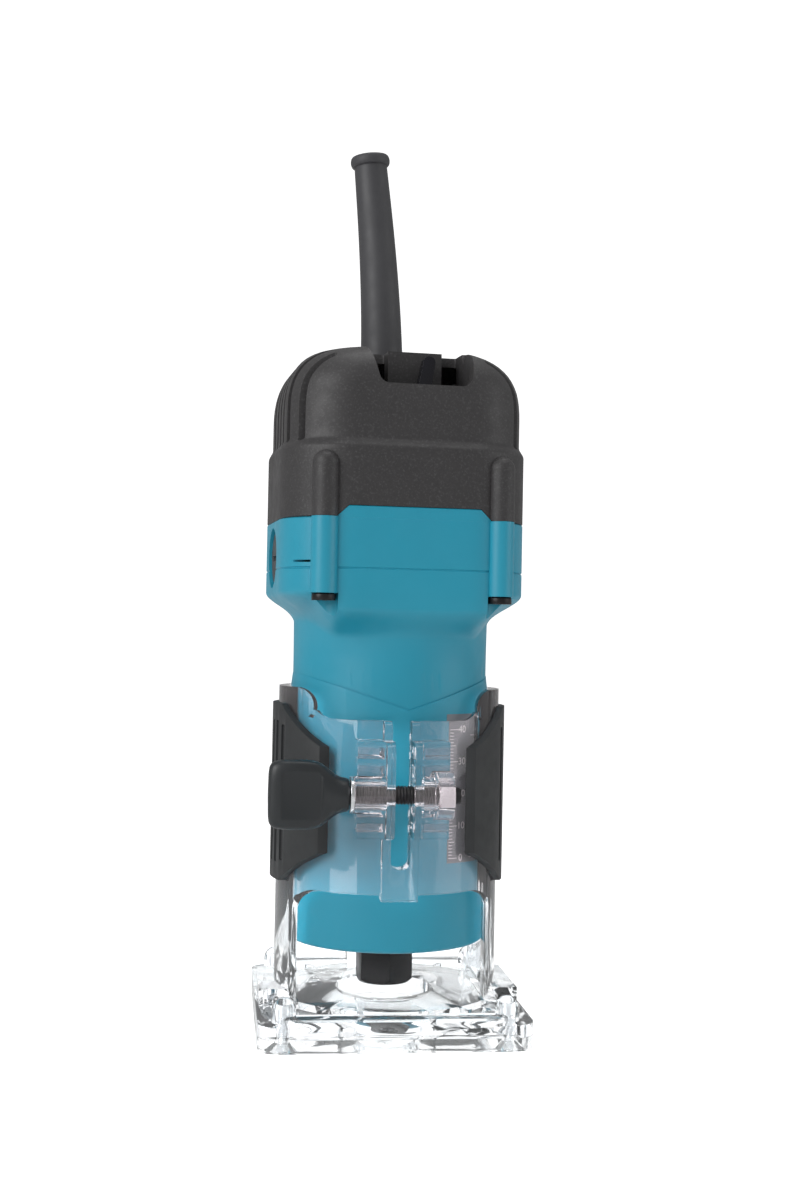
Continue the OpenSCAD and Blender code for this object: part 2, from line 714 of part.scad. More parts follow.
module stator_core() {
    color([0.55, 0.56, 0.58]) in_motor() translate([0, 0, core_z - 2]) linear_extrude(core_h + 4)
        difference() {
            circle(barrel_r - wall - 0.05);
            circle(pole_r);
            // coil windows between the two poles
            intersection() {
                circle(window_r);
                square([60, 2 * window_y], center = true);
            }
        }
}

// one loop of wire around each pole, its legs in the core's windows
module field_coils() {
    color([0.72, 0.4, 0.2]) in_motor() for (s = [-1, 1]) mirror([0, s < 0 ? 1 : 0, 0]) difference() {
        intersection() {
            ring(pole_r + 0.2, window_r - 0.2, core_z - 12, core_z + core_h + 12);
            block(-30, 30, 2, 30, 0, 200);
        }
        block(-30, 30, window_y - 0.2, 30, core_z - 2.2, core_z + core_h + 2.2);
    }
}

module fan_baffle() {
    color([0.22, 0.23, 0.25]) in_motor() {
        ring(17, barrel_r - wall - 0.05, baffle_z, baffle_z + 2);
        ring(27.2, barrel_r - wall - 0.05, baffle_z + 2 - eps, baffle_z + 9);
    }
}

module bridge_outline() {
    intersection() {
        rounded_rect(head_w - 2 * wall - 0.2, head_d - 2 * wall - 0.2, head_r - wall);
        square([32, 80], center = true);
    }
}

module bearing_bridge() {
    color([0.7, 0.71, 0.72]) in_motor() difference() {
        union() {
            translate([0, 0, bridge_z]) linear_extrude(2.6) bridge_outline();
            translate([0, 0, bridge_z]) cylinder(r = 14, h = bridge_top - bridge_z);
        }
        translate([0, 0, bridge_z - 3]) cylinder(r = 9, h = 20);
        translate([0, 0, top_bearing_z]) cylinder(r = top_bearing[1] + 0.02, h = 12);
        // screw holes, and air holes inside them
        for (s = [-1, 1]) {
            translate([0, s * bridge_screw_y, bridge_z - 3]) cylinder(r = 1.7, h = 12, $fn = 32);
            translate([0, s * 20.5, bridge_z - 3]) cylinder(r = 4, h = 12, $fn = 32);
        }
    }
}

module bridge_screws() {
    color([0.7, 0.71, 0.73]) in_motor() for (s = [-1, 1]) translate([0, s * bridge_screw_y, bridge_z]) {
        translate([0, 0, -8.7]) cylinder(r = 1.25, h = 11.4, $fn = 24);
        translate([0, 0, 2.65]) cylinder(r = 2.9, h = 2.2, $fn = 32);
    }
}

// outer race with its balls; size is [bore radius, outer radius, width]
module outer_race(z, size, balls) {
    mid = (size[0] + size[1]) / 2;
    ball = (size[1] - size[0]) * 0.29;
    translate([0, 0, z]) {
        difference() {
            ring(mid + ball * 0.55, size[1], 0, size[2]);
            translate([0, 0, size[2] / 2]) rotate_extrude() translate([mid, 0]) circle(ball + 0.01, $fn = 32);
        }
        for (i = [0:balls - 1]) rotate([0, 0, 360 * i / balls]) translate([mid, 0, size[2] / 2])
            sphere(ball, $fn = 32);
    }
}

module inner_race(z, size) {
    mid = (size[0] + size[1]) / 2;
    ball = (size[1] - size[0]) * 0.29;
    translate([0, 0, z]) difference() {
        ring(size[0], mid - ball * 0.55, 0, size[2]);
        translate([0, 0, size[2] / 2]) rotate_extrude() translate([mid, 0]) circle(ball + 0.06, $fn = 32);
    }
}

module upper_bearing() color([0.8, 0.81, 0.83]) in_motor() outer_race(top_bearing_z, top_bearing, 7);
module lower_bearing() color([0.8, 0.81, 0.83]) in_motor() outer_race(low_bearing_z, low_bearing, 8);
module upper_inner_race() color([0.8, 0.81, 0.83]) in_motor() inner_race(top_bearing_z, top_bearing);
module lower_inner_race() color([0.8, 0.81, 0.83]) in_motor() inner_race(low_bearing_z, low_bearing);

module bearing_retainer() {
    color([0.68, 0.69, 0.71]) in_motor() difference() {
        ring(11.5, 19, nose_top + eps, nose_top + 1.5);
        for (a = [0, 120, 240]) rotate([0, 0, a]) translate([16.8, 0, nose_top - 1])
            cylinder(r = 1.6, h = 4, $fn = 24);
    }
}

module retainer_screws() {
    color([0.7, 0.71, 0.73]) in_motor() for (a = [0, 120, 240]) rotate([0, 0, a]) translate([16.8, 0, 0]) {
        translate([0, 0, nose_top - 6]) cylinder(r = 1.25, h = 7.6, $fn = 24);
        translate([0, 0, nose_top + 1.55]) cylinder(r = 2.2, h = 1.1, $fn = 24);
    }
}

// body of the switch, hung under the pocket's tray
module toggle_switch() {
    top = pocket_floor - tray_t;
    color([0.1, 0.1, 0.11]) in_motor() difference() {
        union() {
            block(lever_x - 13, lever_x + 13, lever_y - 7, lever_y + 7, top - 16, top);
            for (s = [-1, 1])
                block(lever_x + s * 7 - 0.4, lever_x + s * 7 + 0.4, lever_y - 3, lever_y + 3, top - 23, top - 15.5);
        }
        // well that the lever's ball turns in
        translate([lever_x, lever_y + 3.2, lever_pivot_z]) rotate([90, 0, 0]) cylinder(r = 4.05, h = 6.4);
        block(lever_x - 7, lever_x + 7, lever_y - 3.2, lever_y + 3.2, lever_pivot_z + 1.5, top + 1);
    }
}

// capacitor resting on the rim of the bearing bridge
module capacitor() {
    color([0.8, 0.68, 0.2]) in_motor() {
        block(-14, 10, -6, 6, bridge_top + eps, bridge_top + 12.5);
        for (s = [-1, 1]) translate([-2 + s * 8, 0, bridge_top + 12]) cylinder(r = 0.4, h = 3, $fn = 16);
    }
}

// ---------- rotor ----------

module armature_shaft() {
    color([0.72, 0.73, 0.75]) in_motor() difference() {
        rotate_extrude() polygon([[0, -1.5], [6.9, -1.5], [6.9, 10.4], [8.6, 10.4], [8.6, 13.95], [6, 13.95],
            [6, 118], [4.6, 118], [4.6, 145.9], [4, 145.9], [4, 154], [3.6, 154.5], [0, 154.5]]);
        // tapered socket of the collet
        translate([0, 0, -2]) cylinder(r1 = 5.45, r2 = 4.4, h = 11.5);
        cylinder(r = collet_r + 0.3, h = 22);
    }
}

module armature_core() {
    slots = 12;
    color([0.5, 0.51, 0.53]) in_motor() translate([0, 0, core_z]) linear_extrude(core_h) difference() {
        circle(18.8);
        circle(6.01);
        for (i = [0:slots - 1]) rotate(360 * i / slots) {
            translate([14.4, 0]) circle(2.6, $fn = 24);
            translate([17.5, 0]) square([5, 1.6], center = true);
        }
    }
}

module armature_windings() {
    color([0.75, 0.42, 0.2]) in_motor() for (z = [58, core_z + core_h + 0.1]) translate([0, 0, z])
        rotate_extrude() polygon([[6.1, 0], [14, 0], [17, 3], [17, 9.8], [6.1, 9.8]]);
}

module commutator() {
    bars = 24;
    color([0.78, 0.5, 0.28]) in_motor() difference() {
        union() {
            ring(4.62, comm_r, comm_z, comm_z + comm_h);
            ring(4.62, comm_r + 1.6, comm_z - 3, comm_z);
        }
        for (i = [0:bars - 1]) rotate([0, 0, 360 * i / bars])
            block(comm_r - 0.8, comm_r + 3, -0.2, 0.2, comm_z - 4, comm_z + comm_h + 1);
    }
}

module cooling_fan() {
    blades = 11;
    color([0.24, 0.25, 0.27]) in_motor() {
        ring(6.02, 26, fan_z, fan_z + 2);
        ring(6.02, 9.5, fan_z, fan_z + 11);
        for (i = [0:blades - 1]) rotate([0, 0, 360 * i / blades])
            block(9, 25.4, -0.8, 0.8, fan_z + 1.9, fan_z + 11);
    }
}

module collet() {
    color([0.6, 0.61, 0.63]) in_motor() difference() {
        rotate_extrude() polygon([[0, -3.4], [4.9, -3.4], [5.6, -2.2], [5.35, -1.9], [4.33, 9], [0, 9]]);
        translate([0, 0, -5]) cylinder(r = collet_r, h = 16);
        for (a = [0, 90]) rotate([0, 0, a]) block(-8, 8, -0.3, 0.3, -5, 7);
    }
}

module collet_nut() {
    color([0.08, 0.08, 0.09]) in_motor() difference() {
        intersection() {
            translate([0, 0, -4.8]) rotate([0, 0, 30]) linear_extrude(14.3) hexagon(collet_flats);
            rotate_extrude() polygon([[0, -4.8], [8.4, -4.8], [9.9, -3.4], [9.9, 8.8], [9.2, 9.5], [0, 9.5]]);
        }
        translate([0, 0, -1.9]) cylinder(r = 6.97, h = 20);
        translate([0, 0, -6]) cylinder(r = 4.4, h = 10);
        translate([0, 0, -3.55]) cylinder(r1 = 4.95, r2 = 6.4, h = 1.8);
    }
}

module switch_lever() {
    color([0.05, 0.05, 0.06]) in_motor() translate([lever_x, lever_y, lever_pivot_z])
        rotate([0, lever_lean, 0]) {
            rotate([90, 0, 0]) cylinder(r = 4, h = 5.6, center = true);
            along_y(-2.3, 2.3) polygon([[-2.4, 0], [2.4, 0], [1.9, lever_len], [-1.9, lever_len]]);
            translate([0, 0, lever_len]) rotate([90, 0, 0]) cylinder(r = 1.9, h = 4.6, center = true);
        }
}

clear_base();
sole_sheet();
sole_screws();
grip_left();
grip_right();
clamp_nut();
clamp_washer();
wing_knob();
clamp_bolt();
motor_housing();
rear_cover();
cover_screws();
cord_guard();
cord_clamp();
cord_clamp_screws();
depth_scale();
brush_cap_left();
brush_cap_right();
brush_holder_left();
brush_holder_right();
carbon_brush_left();
carbon_brush_right();
brush_spring_left();
brush_spring_right();
stator_core();
field_coils();
fan_baffle();
bearing_bridge();
bridge_screws();
upper_bearing();
lower_bearing();
bearing_retainer();
retainer_screws();
toggle_switch();
capacitor();
armature_shaft();
armature_core();
armature_windings();
commutator();
cooling_fan();
upper_inner_race();
lower_inner_race();
collet();
collet_nut();
switch_lever();
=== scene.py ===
import math
import bmesh
import bpy
from mathutils import Matrix, Vector


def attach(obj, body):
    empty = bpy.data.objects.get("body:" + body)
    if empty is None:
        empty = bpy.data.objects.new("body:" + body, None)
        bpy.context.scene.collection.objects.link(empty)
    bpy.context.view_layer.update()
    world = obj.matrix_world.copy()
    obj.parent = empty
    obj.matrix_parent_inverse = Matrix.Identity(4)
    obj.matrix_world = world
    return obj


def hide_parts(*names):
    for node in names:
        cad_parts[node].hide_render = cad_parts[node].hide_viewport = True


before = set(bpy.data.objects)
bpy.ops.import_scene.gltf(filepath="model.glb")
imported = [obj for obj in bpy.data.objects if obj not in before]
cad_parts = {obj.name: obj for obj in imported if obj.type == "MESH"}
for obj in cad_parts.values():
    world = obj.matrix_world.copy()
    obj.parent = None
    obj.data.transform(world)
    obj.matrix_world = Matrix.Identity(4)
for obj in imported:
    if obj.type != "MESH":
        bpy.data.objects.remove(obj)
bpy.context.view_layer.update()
mm = 0.001

# where it stands, where it looks, how far it leans, and its lens in mm
camera = {"place": (-0.0567, -0.5088, 0.127), "ahead": (0.1167, 0.9930, 0.0210), "roll": 0.019, "lens": 46.2}


def addCamera():
    ahead = Vector(camera["ahead"]).normalized()
    side = ahead.cross(Vector((0, 0, 1))).normalized()
    up = side.cross(ahead)
    c, s = math.cos(camera["roll"]), math.sin(camera["roll"])
    right = side * c + up * s
    top = up * c - side * s
    bpy.ops.object.camera_add(location=camera["place"])
    cam = bpy.context.object
    cam.name = "viewCamera"
    cam.data.lens = camera["lens"]
    cam.data.sensor_width = 36
    cam.matrix_world = Matrix.Translation(camera["place"]) @ Matrix((right, top, -ahead)).transposed().to_4x4()
    bpy.context.scene.camera = cam


addCamera()
print("camera set")

# the motor sits raised and turned a little in its clear base
motor = {"turn": math.radians(5), "lift": 17 * mm}


def deselectAll():
    if bpy.context.object and bpy.context.object.mode != "OBJECT":
        bpy.ops.object.mode_set(mode="OBJECT")
    bpy.ops.object.select_all(action="DESELECT")


def pick(obj):
    deselectAll()
    obj.select_set(True)
    bpy.context.view_layer.objects.active = obj


# place, turn and scale go into the mesh
def bake(obj):
    pick(obj)
    bpy.ops.object.transform_apply(location=True, rotation=True, scale=True)


# a workable copy of a CAD node: merged points, flat faces made whole
def cadCopy(node, name):
    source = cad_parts[node]
    obj = source.copy()
    obj.data = source.data.copy()
    obj.name = name
    obj.data.name = name
    bpy.context.scene.collection.objects.link(obj)
    obj.parent = None
    obj.matrix_world = source.matrix_world
    bake(obj)
    bpy.ops.object.mode_set(mode="EDIT")
    bpy.ops.mesh.select_all(action="SELECT")
    bpy.ops.mesh.remove_doubles(threshold=0.002 * mm)
    bpy.ops.mesh.dissolve_limited(angle_limit=math.radians(0.6))
    bpy.ops.object.mode_set(mode="OBJECT")
    return obj


# adds a modifier, sets it and applies it
def modify(obj, kind, **values):
    pick(obj)
    mod = obj.modifiers.new(kind.title(), kind)
    for key, value in values.items():
        setattr(mod, key, value)
    bpy.ops.object.modifier_apply(modifier=mod.name)


def soften(obj, width, segments=2, angle=32):
    modify(obj, "BEVEL", width=width, segments=segments, limit_method="ANGLE", angle_limit=math.radians(angle),
           use_clamp_overlap=True, miter_outer="MITER_ARC", harden_normals=False)


# boolean with a tool piece, which is then thrown away
def cut(obj, tool, how="DIFFERENCE"):
    modify(obj, "BOOLEAN", object=tool, operation=how, solver="MANIFOLD")
    bpy.data.objects.remove(tool, do_unlink=True)


def smooth(obj, angle=35):
    pick(obj)
    bpy.ops.object.shade_smooth_by_angle(angle=math.radians(angle))


# moves a piece made in the motor's own straight frame to where the motor is
def turnWithMotor(obj):
    obj.matrix_world = (Matrix.Translation((0, 0, motor["lift"])) @ Matrix.Rotation(motor["turn"], 4, "Z")
                        @ obj.matrix_world)
    bake(obj)


# smooth shading, finish, and what the piece rides on and stands for
def finish(obj, body, material, slot, *nodes, angle=35):
    smooth(obj, angle)
    obj.data.materials.clear()
    obj.data.materials.append(material)
    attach(obj, body)
    if nodes:
        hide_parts(*nodes)


def box(x0, x1, y0, y1, z0, z1, name="cutter"):
    deselectAll()
    bpy.ops.mesh.primitive_cube_add(size=1, location=((x0 + x1) / 2, (y0 + y1) / 2, (z0 + z1) / 2),
                                    scale=(x1 - x0, y1 - y0, z1 - z0))
    obj = bpy.context.object
    obj.name = name
    bake(obj)
    return obj


# cylinder between two points
def rod(radius, start, end, sides=64, name="cutter"):
    start, end = Vector(start), Vector(end)
    along = end - start
    deselectAll()
    bpy.ops.mesh.primitive_cylinder_add(vertices=sides, radius=radius, depth=along.length,
                                        location=(start + end) / 2)
    obj = bpy.context.object
    obj.name = name
    obj.rotation_mode = "QUATERNION"
    obj.rotation_quaternion = along.to_track_quat("Z", "Y")
    bake(obj)
    return obj


# distance from the middle of a rounded rectangle to its edge, in one direction
def roundedRadius(angle, w, d, r):
    c, s = abs(math.cos(angle)), abs(math.sin(angle))
    reach = min(w / 2 / max(c, 1e-9), d / 2 / max(s, 1e-9))
    cx, cy = w / 2 - r, d / 2 - r
    if reach * c > cx and reach * s > cy:
        b = c * cx + s * cy
        reach = b + math.sqrt(max(0.0, b * b - (cx * cx + cy * cy - r * r)))
    return reach


# rings pulled up one after the other; each level is a function from the angle to (radius, height)
def stack(name, levels, sides=128, centre=(0.0, 0.0), closed=True):
    deselectAll()
    bpy.ops.mesh.primitive_circle_add(vertices=sides, radius=1, location=(0, 0, 0))
    obj = bpy.context.object
    obj.name = name
    bpy.ops.object.mode_set(mode="EDIT")
    bpy.ops.mesh.select_all(action="SELECT")
    for count, level in enumerate(levels):
        if count:
            bpy.ops.mesh.extrude_edges_move()
        form = bmesh.from_edit_mesh(obj.data)
        for v in [v for v in form.verts if v.select]:
            angle = math.atan2(v.co.y - centre[1] * (count > 0), v.co.x - centre[0] * (count > 0))
            radius, height = level(angle)
            v.co = (centre[0] + radius * math.cos(angle), centre[1] + radius * math.sin(angle), height)
        bmesh.update_edit_mesh(obj.data)
    if closed:
        form = bmesh.from_edit_mesh(obj.data)
        bmesh.ops.holes_fill(form, edges=[e for e in form.edges if len(e.link_faces) == 1], sides=0)
        bmesh.update_edit_mesh(obj.data)
        bpy.ops.mesh.select_all(action="SELECT")
        bpy.ops.mesh.normals_make_consistent(inside=False)
    bpy.ops.object.mode_set(mode="OBJECT")
    return obj


def level(radius, height):
    return lambda angle: (radius, height)


def rectLevel(w, d, r, height):
    return lambda angle: (roundedRadius(angle, w, d, r), height)


# an outline in (x, z), extruded along y
def prism(outline, y0, y1, name="cutter"):
    deselectAll()
    bpy.ops.mesh.primitive_circle_add(vertices=len(outline), radius=1, fill_type="NGON")
    obj = bpy.context.object
    obj.name = name
    for v, (x, z) in zip(obj.data.vertices, outline):
        v.co = (x, y0, z)
    bpy.ops.object.mode_set(mode="EDIT")
    bpy.ops.mesh.select_all(action="SELECT")
    bpy.ops.mesh.extrude_region_move(TRANSFORM_OT_translate={"value": (0, y1 - y0, 0)})
    bpy.ops.mesh.select_all(action="SELECT")
    bpy.ops.mesh.normals_make_consistent(inside=False)
    bpy.ops.object.mode_set(mode="OBJECT")
    return obj


def addSocket(group, name, kind, way, value=None):
    s = group.interface.new_socket(name=name, in_out=way, socket_type=kind)
    if value is not None:
        s.default_value = value


# tone, gloss and grain of a worked surface, in the piece's own metres
def makeSkinGroup():
    g = bpy.data.node_groups.new("skin", "ShaderNodeTree")
    for name, kind, value in (
            ("Tone A", "NodeSocketColor", (0.5, 0.5, 0.5, 1)),
            ("Tone B", "NodeSocketColor", (0.6, 0.6, 0.6, 1)),
            ("Tone Scale", "NodeSocketFloat", 60), ("Gloss Low", "NodeSocketFloat", 0.3),
            ("Gloss High", "NodeSocketFloat", 0.45), ("Gloss Scale", "NodeSocketFloat", 150),
            ("Grain Scale", "NodeSocketFloat", 2500), ("Speck", "NodeSocketFloat", 0.0)):
        addSocket(g, name, kind, "INPUT", value)
    for name, kind in (("Color", "NodeSocketColor"), ("Roughness", "NodeSocketFloat"),
                       ("Height", "NodeSocketFloat")):
        addSocket(g, name, kind, "OUTPUT")
    n, link = g.nodes, g.links.new
    start, end = n.new("NodeGroupInput"), n.new("NodeGroupOutput")
    where = n.new("ShaderNodeTexCoord")
    noises = []
    for scaleName, detail, rough in (("Tone Scale", 4, 0.6), ("Gloss Scale", 5, 0.6), ("Grain Scale", 3, 0.55)):
        noise = n.new("ShaderNodeTexNoise")
        noise.inputs["Detail"].default_value = detail
        noise.inputs["Roughness"].default_value = rough
        link(where.outputs["Object"], noise.inputs["Vector"])
        link(start.outputs[scaleName], noise.inputs["Scale"])
        noises.append(noise)
    tone, gloss, grain = noises
    mix = n.new("ShaderNodeMix")
    mix.data_type = "RGBA"
    link(tone.outputs["Fac"], mix.inputs["Factor"])
    link(start.outputs["Tone A"], mix.inputs["A"])
    link(start.outputs["Tone B"], mix.inputs["B"])
    # fine specks follow the grain
    band = n.new("ShaderNodeMapRange")
    band.inputs["From Min"].default_value = 0.52
    band.inputs["From Max"].default_value = 0.72
    link(grain.outputs["Fac"], band.inputs["Value"])
    part = n.new("ShaderNodeMath")
    part.operation = "MULTIPLY"
    link(band.outputs["Result"], part.inputs[0])
    link(start.outputs["Speck"], part.inputs[1])
    specks = n.new("ShaderNodeMix")
    specks.data_type = "RGBA"
    specks.blend_type = "SCREEN"
    specks.inputs["B"].default_value = (0.35, 0.35, 0.36, 1)
    link(part.outputs[0], specks.inputs["Factor"])
    link(mix.outputs["Result"], specks.inputs["A"])
    link(specks.outputs["Result"], end.inputs["Color"])
    span = n.new("ShaderNodeMapRange")
    span.inputs["From Min"].default_value = 0.3
    span.inputs["From Max"].default_value = 0.7
    link(gloss.outputs["Fac"], span.inputs["Value"])
    link(start.outputs["Gloss Low"], span.inputs["To Min"])
    link(start.outputs["Gloss High"], span.inputs["To Max"])
    link(span.outputs["Result"], end.inputs["Roughness"])
    link(grain.outputs["Fac"], end.inputs["Height"])
    return g


skinGroup = makeSkinGroup()


# a material from the skin group; grain is the bump's strength and depth its height in mm
def surface(name, toneA, toneB, gloss=(0.3, 0.45), toneScale=60, glossScale=150, grainScale=2500, grain=0.1,
            depth=0.02, speck=0.0, metallic=0.0, coat=0.0, spec=0.5):
    m = bpy.data.materials.new(name)
    m.use_nodes = True
    n, link = m.node_tree.nodes, m.node_tree.links.new
    shader = n["Principled BSDF"]
    skin = n.new("ShaderNodeGroup")
    skin.node_tree = skinGroup
    values = {"Tone A": (*toneA, 1), "Tone B": (*toneB, 1), "Tone Scale": toneScale, "Gloss Low": gloss[0],
              "Gloss High": gloss[1], "Gloss Scale": glossScale, "Grain Scale": grainScale, "Speck": speck}
    for key, value in values.items():
        skin.inputs[key].default_value = value
    link(skin.outputs["Color"], shader.inputs["Base Color"])
    link(skin.outputs["Roughness"], shader.inputs["Roughness"])
    bump = n.new("ShaderNodeBump")
    bump.inputs["Strength"].default_value = grain
    bump.inputs["Distance"].default_value = depth * mm
    link(skin.outputs["Height"], bump.inputs["Height"])
    link(bump.outputs["Normal"], shader.inputs["Normal"])
    shader.inputs["Metallic"].default_value = metallic
    shader.inputs["Coat Weight"].default_value = coat
    shader.inputs["Specular IOR Level"].default_value = spec
    return m


def clearPlastic(name, tint, rough, clear, smoke=None):
    m = bpy.data.materials.new(name)
    m.use_nodes = True
    n, link = m.node_tree.nodes, m.node_tree.links.new
    shader = n["Principled BSDF"]
    shader.inputs["IOR"].default_value = 1.45
    where = n.new("ShaderNodeTexCoord")
    smear = n.new("ShaderNodeTexNoise")
    smear.inputs["Scale"].default_value = 220
    smear.inputs["Detail"].default_value = 4
    link(where.outputs["Object"], smear.inputs["Vector"])
    span = n.new("ShaderNodeMapRange")
    span.inputs["From Min"].default_value = 0.35
    span.inputs["From Max"].default_value = 0.7
    span.inputs["To Min"].default_value = rough[0]
    span.inputs["To Max"].default_value = rough[1]
    link(smear.outputs["Fac"], span.inputs["Value"])
    link(span.outputs["Result"], shader.inputs["Roughness"])
    shader.inputs["Transmission Weight"].default_value = clear
    # the tint varies a little in soft patches
    patch = n.new("ShaderNodeTexNoise")
    patch.inputs["Scale"].default_value = 38
    patch.inputs["Detail"].default_value = 1
    link(where.outputs["Object"], patch.inputs["Vector"])
    tone = n.new("ShaderNodeValToRGB")
    tone.color_ramp.elements[0].position = 0.42
    tone.color_ramp.elements[0].color = (*tint, 1)
    tone.color_ramp.elements[1].position = 0.58
    tone.color_ramp.elements[1].color = (*(min(v + 0.03, 1) for v in tint), 1)
    link(patch.outputs["Fac"], tone.inputs["Fac"])
    colour = tone.outputs["Color"]
    if smoke:  # the tall wall carries a little smoke tint
        parts = n.new("ShaderNodeSeparateXYZ")
        link(where.outputs["Object"], parts.inputs["Vector"])
        rise = n.new("ShaderNodeMapRange")
        rise.inputs["From Min"].default_value = 38 * mm
        rise.inputs["From Max"].default_value = 52 * mm
        link(parts.outputs["Z"], rise.inputs["Value"])
        blend = n.new("ShaderNodeMix")
        blend.data_type = "RGBA"
        link(rise.outputs["Result"], blend.inputs[0])
        link(colour, blend.inputs[6])
        blend.inputs[7].default_value = (*smoke, 1)
        colour = blend.outputs[2]
    link(colour, shader.inputs["Base Color"])
    flow = n.new("ShaderNodeTexNoise")
    flow.inputs["Scale"].default_value = 60
    flow.inputs["Detail"].default_value = 2
    link(where.outputs["Object"], flow.inputs["Vector"])
    bump = n.new("ShaderNodeBump")
    bump.inputs["Strength"].default_value = 0.15
    bump.inputs["Distance"].default_value = 0.15 * mm
    link(flow.outputs["Fac"], bump.inputs["Height"])
    link(bump.outputs["Normal"], shader.inputs["Normal"])
    return m


tealPlastic = surface("tealPlastic", (0.009, 0.235, 0.345), (0.014, 0.285, 0.405), (0.34, 0.46), toneScale=25,
                      grainScale=3500, grain=0.12, depth=0.02)
charcoalPlastic = surface("charcoalPlastic", (0.019, 0.018, 0.019), (0.031, 0.029, 0.030), (0.46, 0.62),
                          toneScale=900, grainScale=1500, grain=0.35, depth=0.06, speck=0.07)
knobPlastic = surface("knobPlastic", (0.008, 0.010, 0.012), (0.013, 0.016, 0.018), (0.36, 0.5), grainScale=2600,
                      grain=0.18, depth=0.03)
gripRubber = surface("gripRubber", (0.012, 0.014, 0.015), (0.020, 0.022, 0.024), (0.5, 0.65), grainScale=2200,
                     grain=0.25, depth=0.03)
guardRubber = surface("guardRubber", (0.032, 0.032, 0.036), (0.045, 0.045, 0.049), (0.48, 0.62), toneScale=90,
                      grainScale=2400, grain=0.22, depth=0.03)
scaleFilm = surface("scaleFilm", (0.13, 0.15, 0.17), (0.17, 0.19, 0.21), (0.3, 0.4), grainScale=3000,
                    grain=0.05)
scaleInk = surface("scaleInk", (0.75, 0.76, 0.77), (0.85, 0.86, 0.87), (0.4, 0.5), grain=0.05)
glossBlack = surface("glossBlack", (0.004, 0.004, 0.007), (0.007, 0.007, 0.011), (0.1, 0.18), grain=0.03,
                     spec=0.35)
blackOxide = surface("blackOxide", (0.010, 0.010, 0.011), (0.022, 0.021, 0.022), (0.3, 0.48), toneScale=300,
                     grainScale=1800, grain=0.2, depth=0.02, metallic=0.6)
zincSteel = surface("zincSteel", (0.60, 0.61, 0.62), (0.75, 0.76, 0.78), (0.2, 0.34), toneScale=200,
                    grainScale=1500, grain=0.12, depth=0.02, metallic=1.0)
groundSteel = surface("groundSteel", (0.42, 0.43, 0.45), (0.55, 0.56, 0.58), (0.22, 0.36), toneScale=150,
                      grainScale=1600, grain=0.12, depth=0.02, metallic=1.0)
laminated = surface("laminated", (0.25, 0.25, 0.27), (0.33, 0.33, 0.35), (0.4, 0.55), grain=0.2, metallic=0.9)
copperWire = surface("copperWire", (0.45, 0.16, 0.06), (0.62, 0.25, 0.10), (0.28, 0.45), toneScale=500,
                     grainScale=1200, grain=0.5, depth=0.1, metallic=1.0)
stampedBrass = surface("stampedBrass", (0.62, 0.42, 0.14), (0.74, 0.52, 0.2), (0.25, 0.4), metallic=1.0)
carbonBlock = surface("carbonBlock", (0.012, 0.012, 0.012), (0.03, 0.03, 0.03), (0.5, 0.7), grain=0.4,
                      depth=0.05)
castAlloy = surface("castAlloy", (0.5, 0.5, 0.52), (0.6, 0.6, 0.62), (0.4, 0.55), grainScale=1200, grain=0.3,
                    depth=0.05, metallic=1.0)
ochreResin = surface("ochreResin", (0.5, 0.33, 0.05), (0.6, 0.42, 0.08), (0.25, 0.35), grain=0.08, coat=0.3)
darkNylon = surface("darkNylon", (0.02, 0.022, 0.026), (0.03, 0.032, 0.036), (0.4, 0.55), grain=0.2, depth=0.03)
clearBody = clearPlastic("clearBody", (0.94, 0.96, 0.98), (0.015, 0.06), 0.975, smoke=(0.85, 0.80, 0.82))
clearSole = clearPlastic("clearSole", (0.95, 0.965, 0.97), (0.02, 0.08), 0.93)
print("surfaces made")

# in mm, in the motor's own straight frame
housing = {
    "barrelR": 32.5, "bottom": 10.1, "edge": 1.4, "flareLow": 107, "flareHigh": 121.5, "frontDrop": 5.1,
    "head": (79.5, 74.0, 22.0), "split": 145.3, "seam": 129.5, "tongue": (24.5, 20.8, 148.8),
    "boss": (28.0, 34.5, 4.2), "recess": (37.2, 9.8, 133.5),
    "sink": 0.6, "chevron": (85.7, 0.33), "steps": 14, "groove": (0.5, 0.35),
    "bore": (29.5, 24.0, 124.0), "cavity": (3.0, 123.2), "screwPocket": (4.3, 121.7), "brushHole": 7.1,
    "latch": (-36.5, -30.5, -32.0, -26.5, 131.2, 131.9), "bearingSeat": (14.05, 14.0, 30.0),
    "spindleHole": 10.0, "outlets": (12, 22.5, 3.4)}


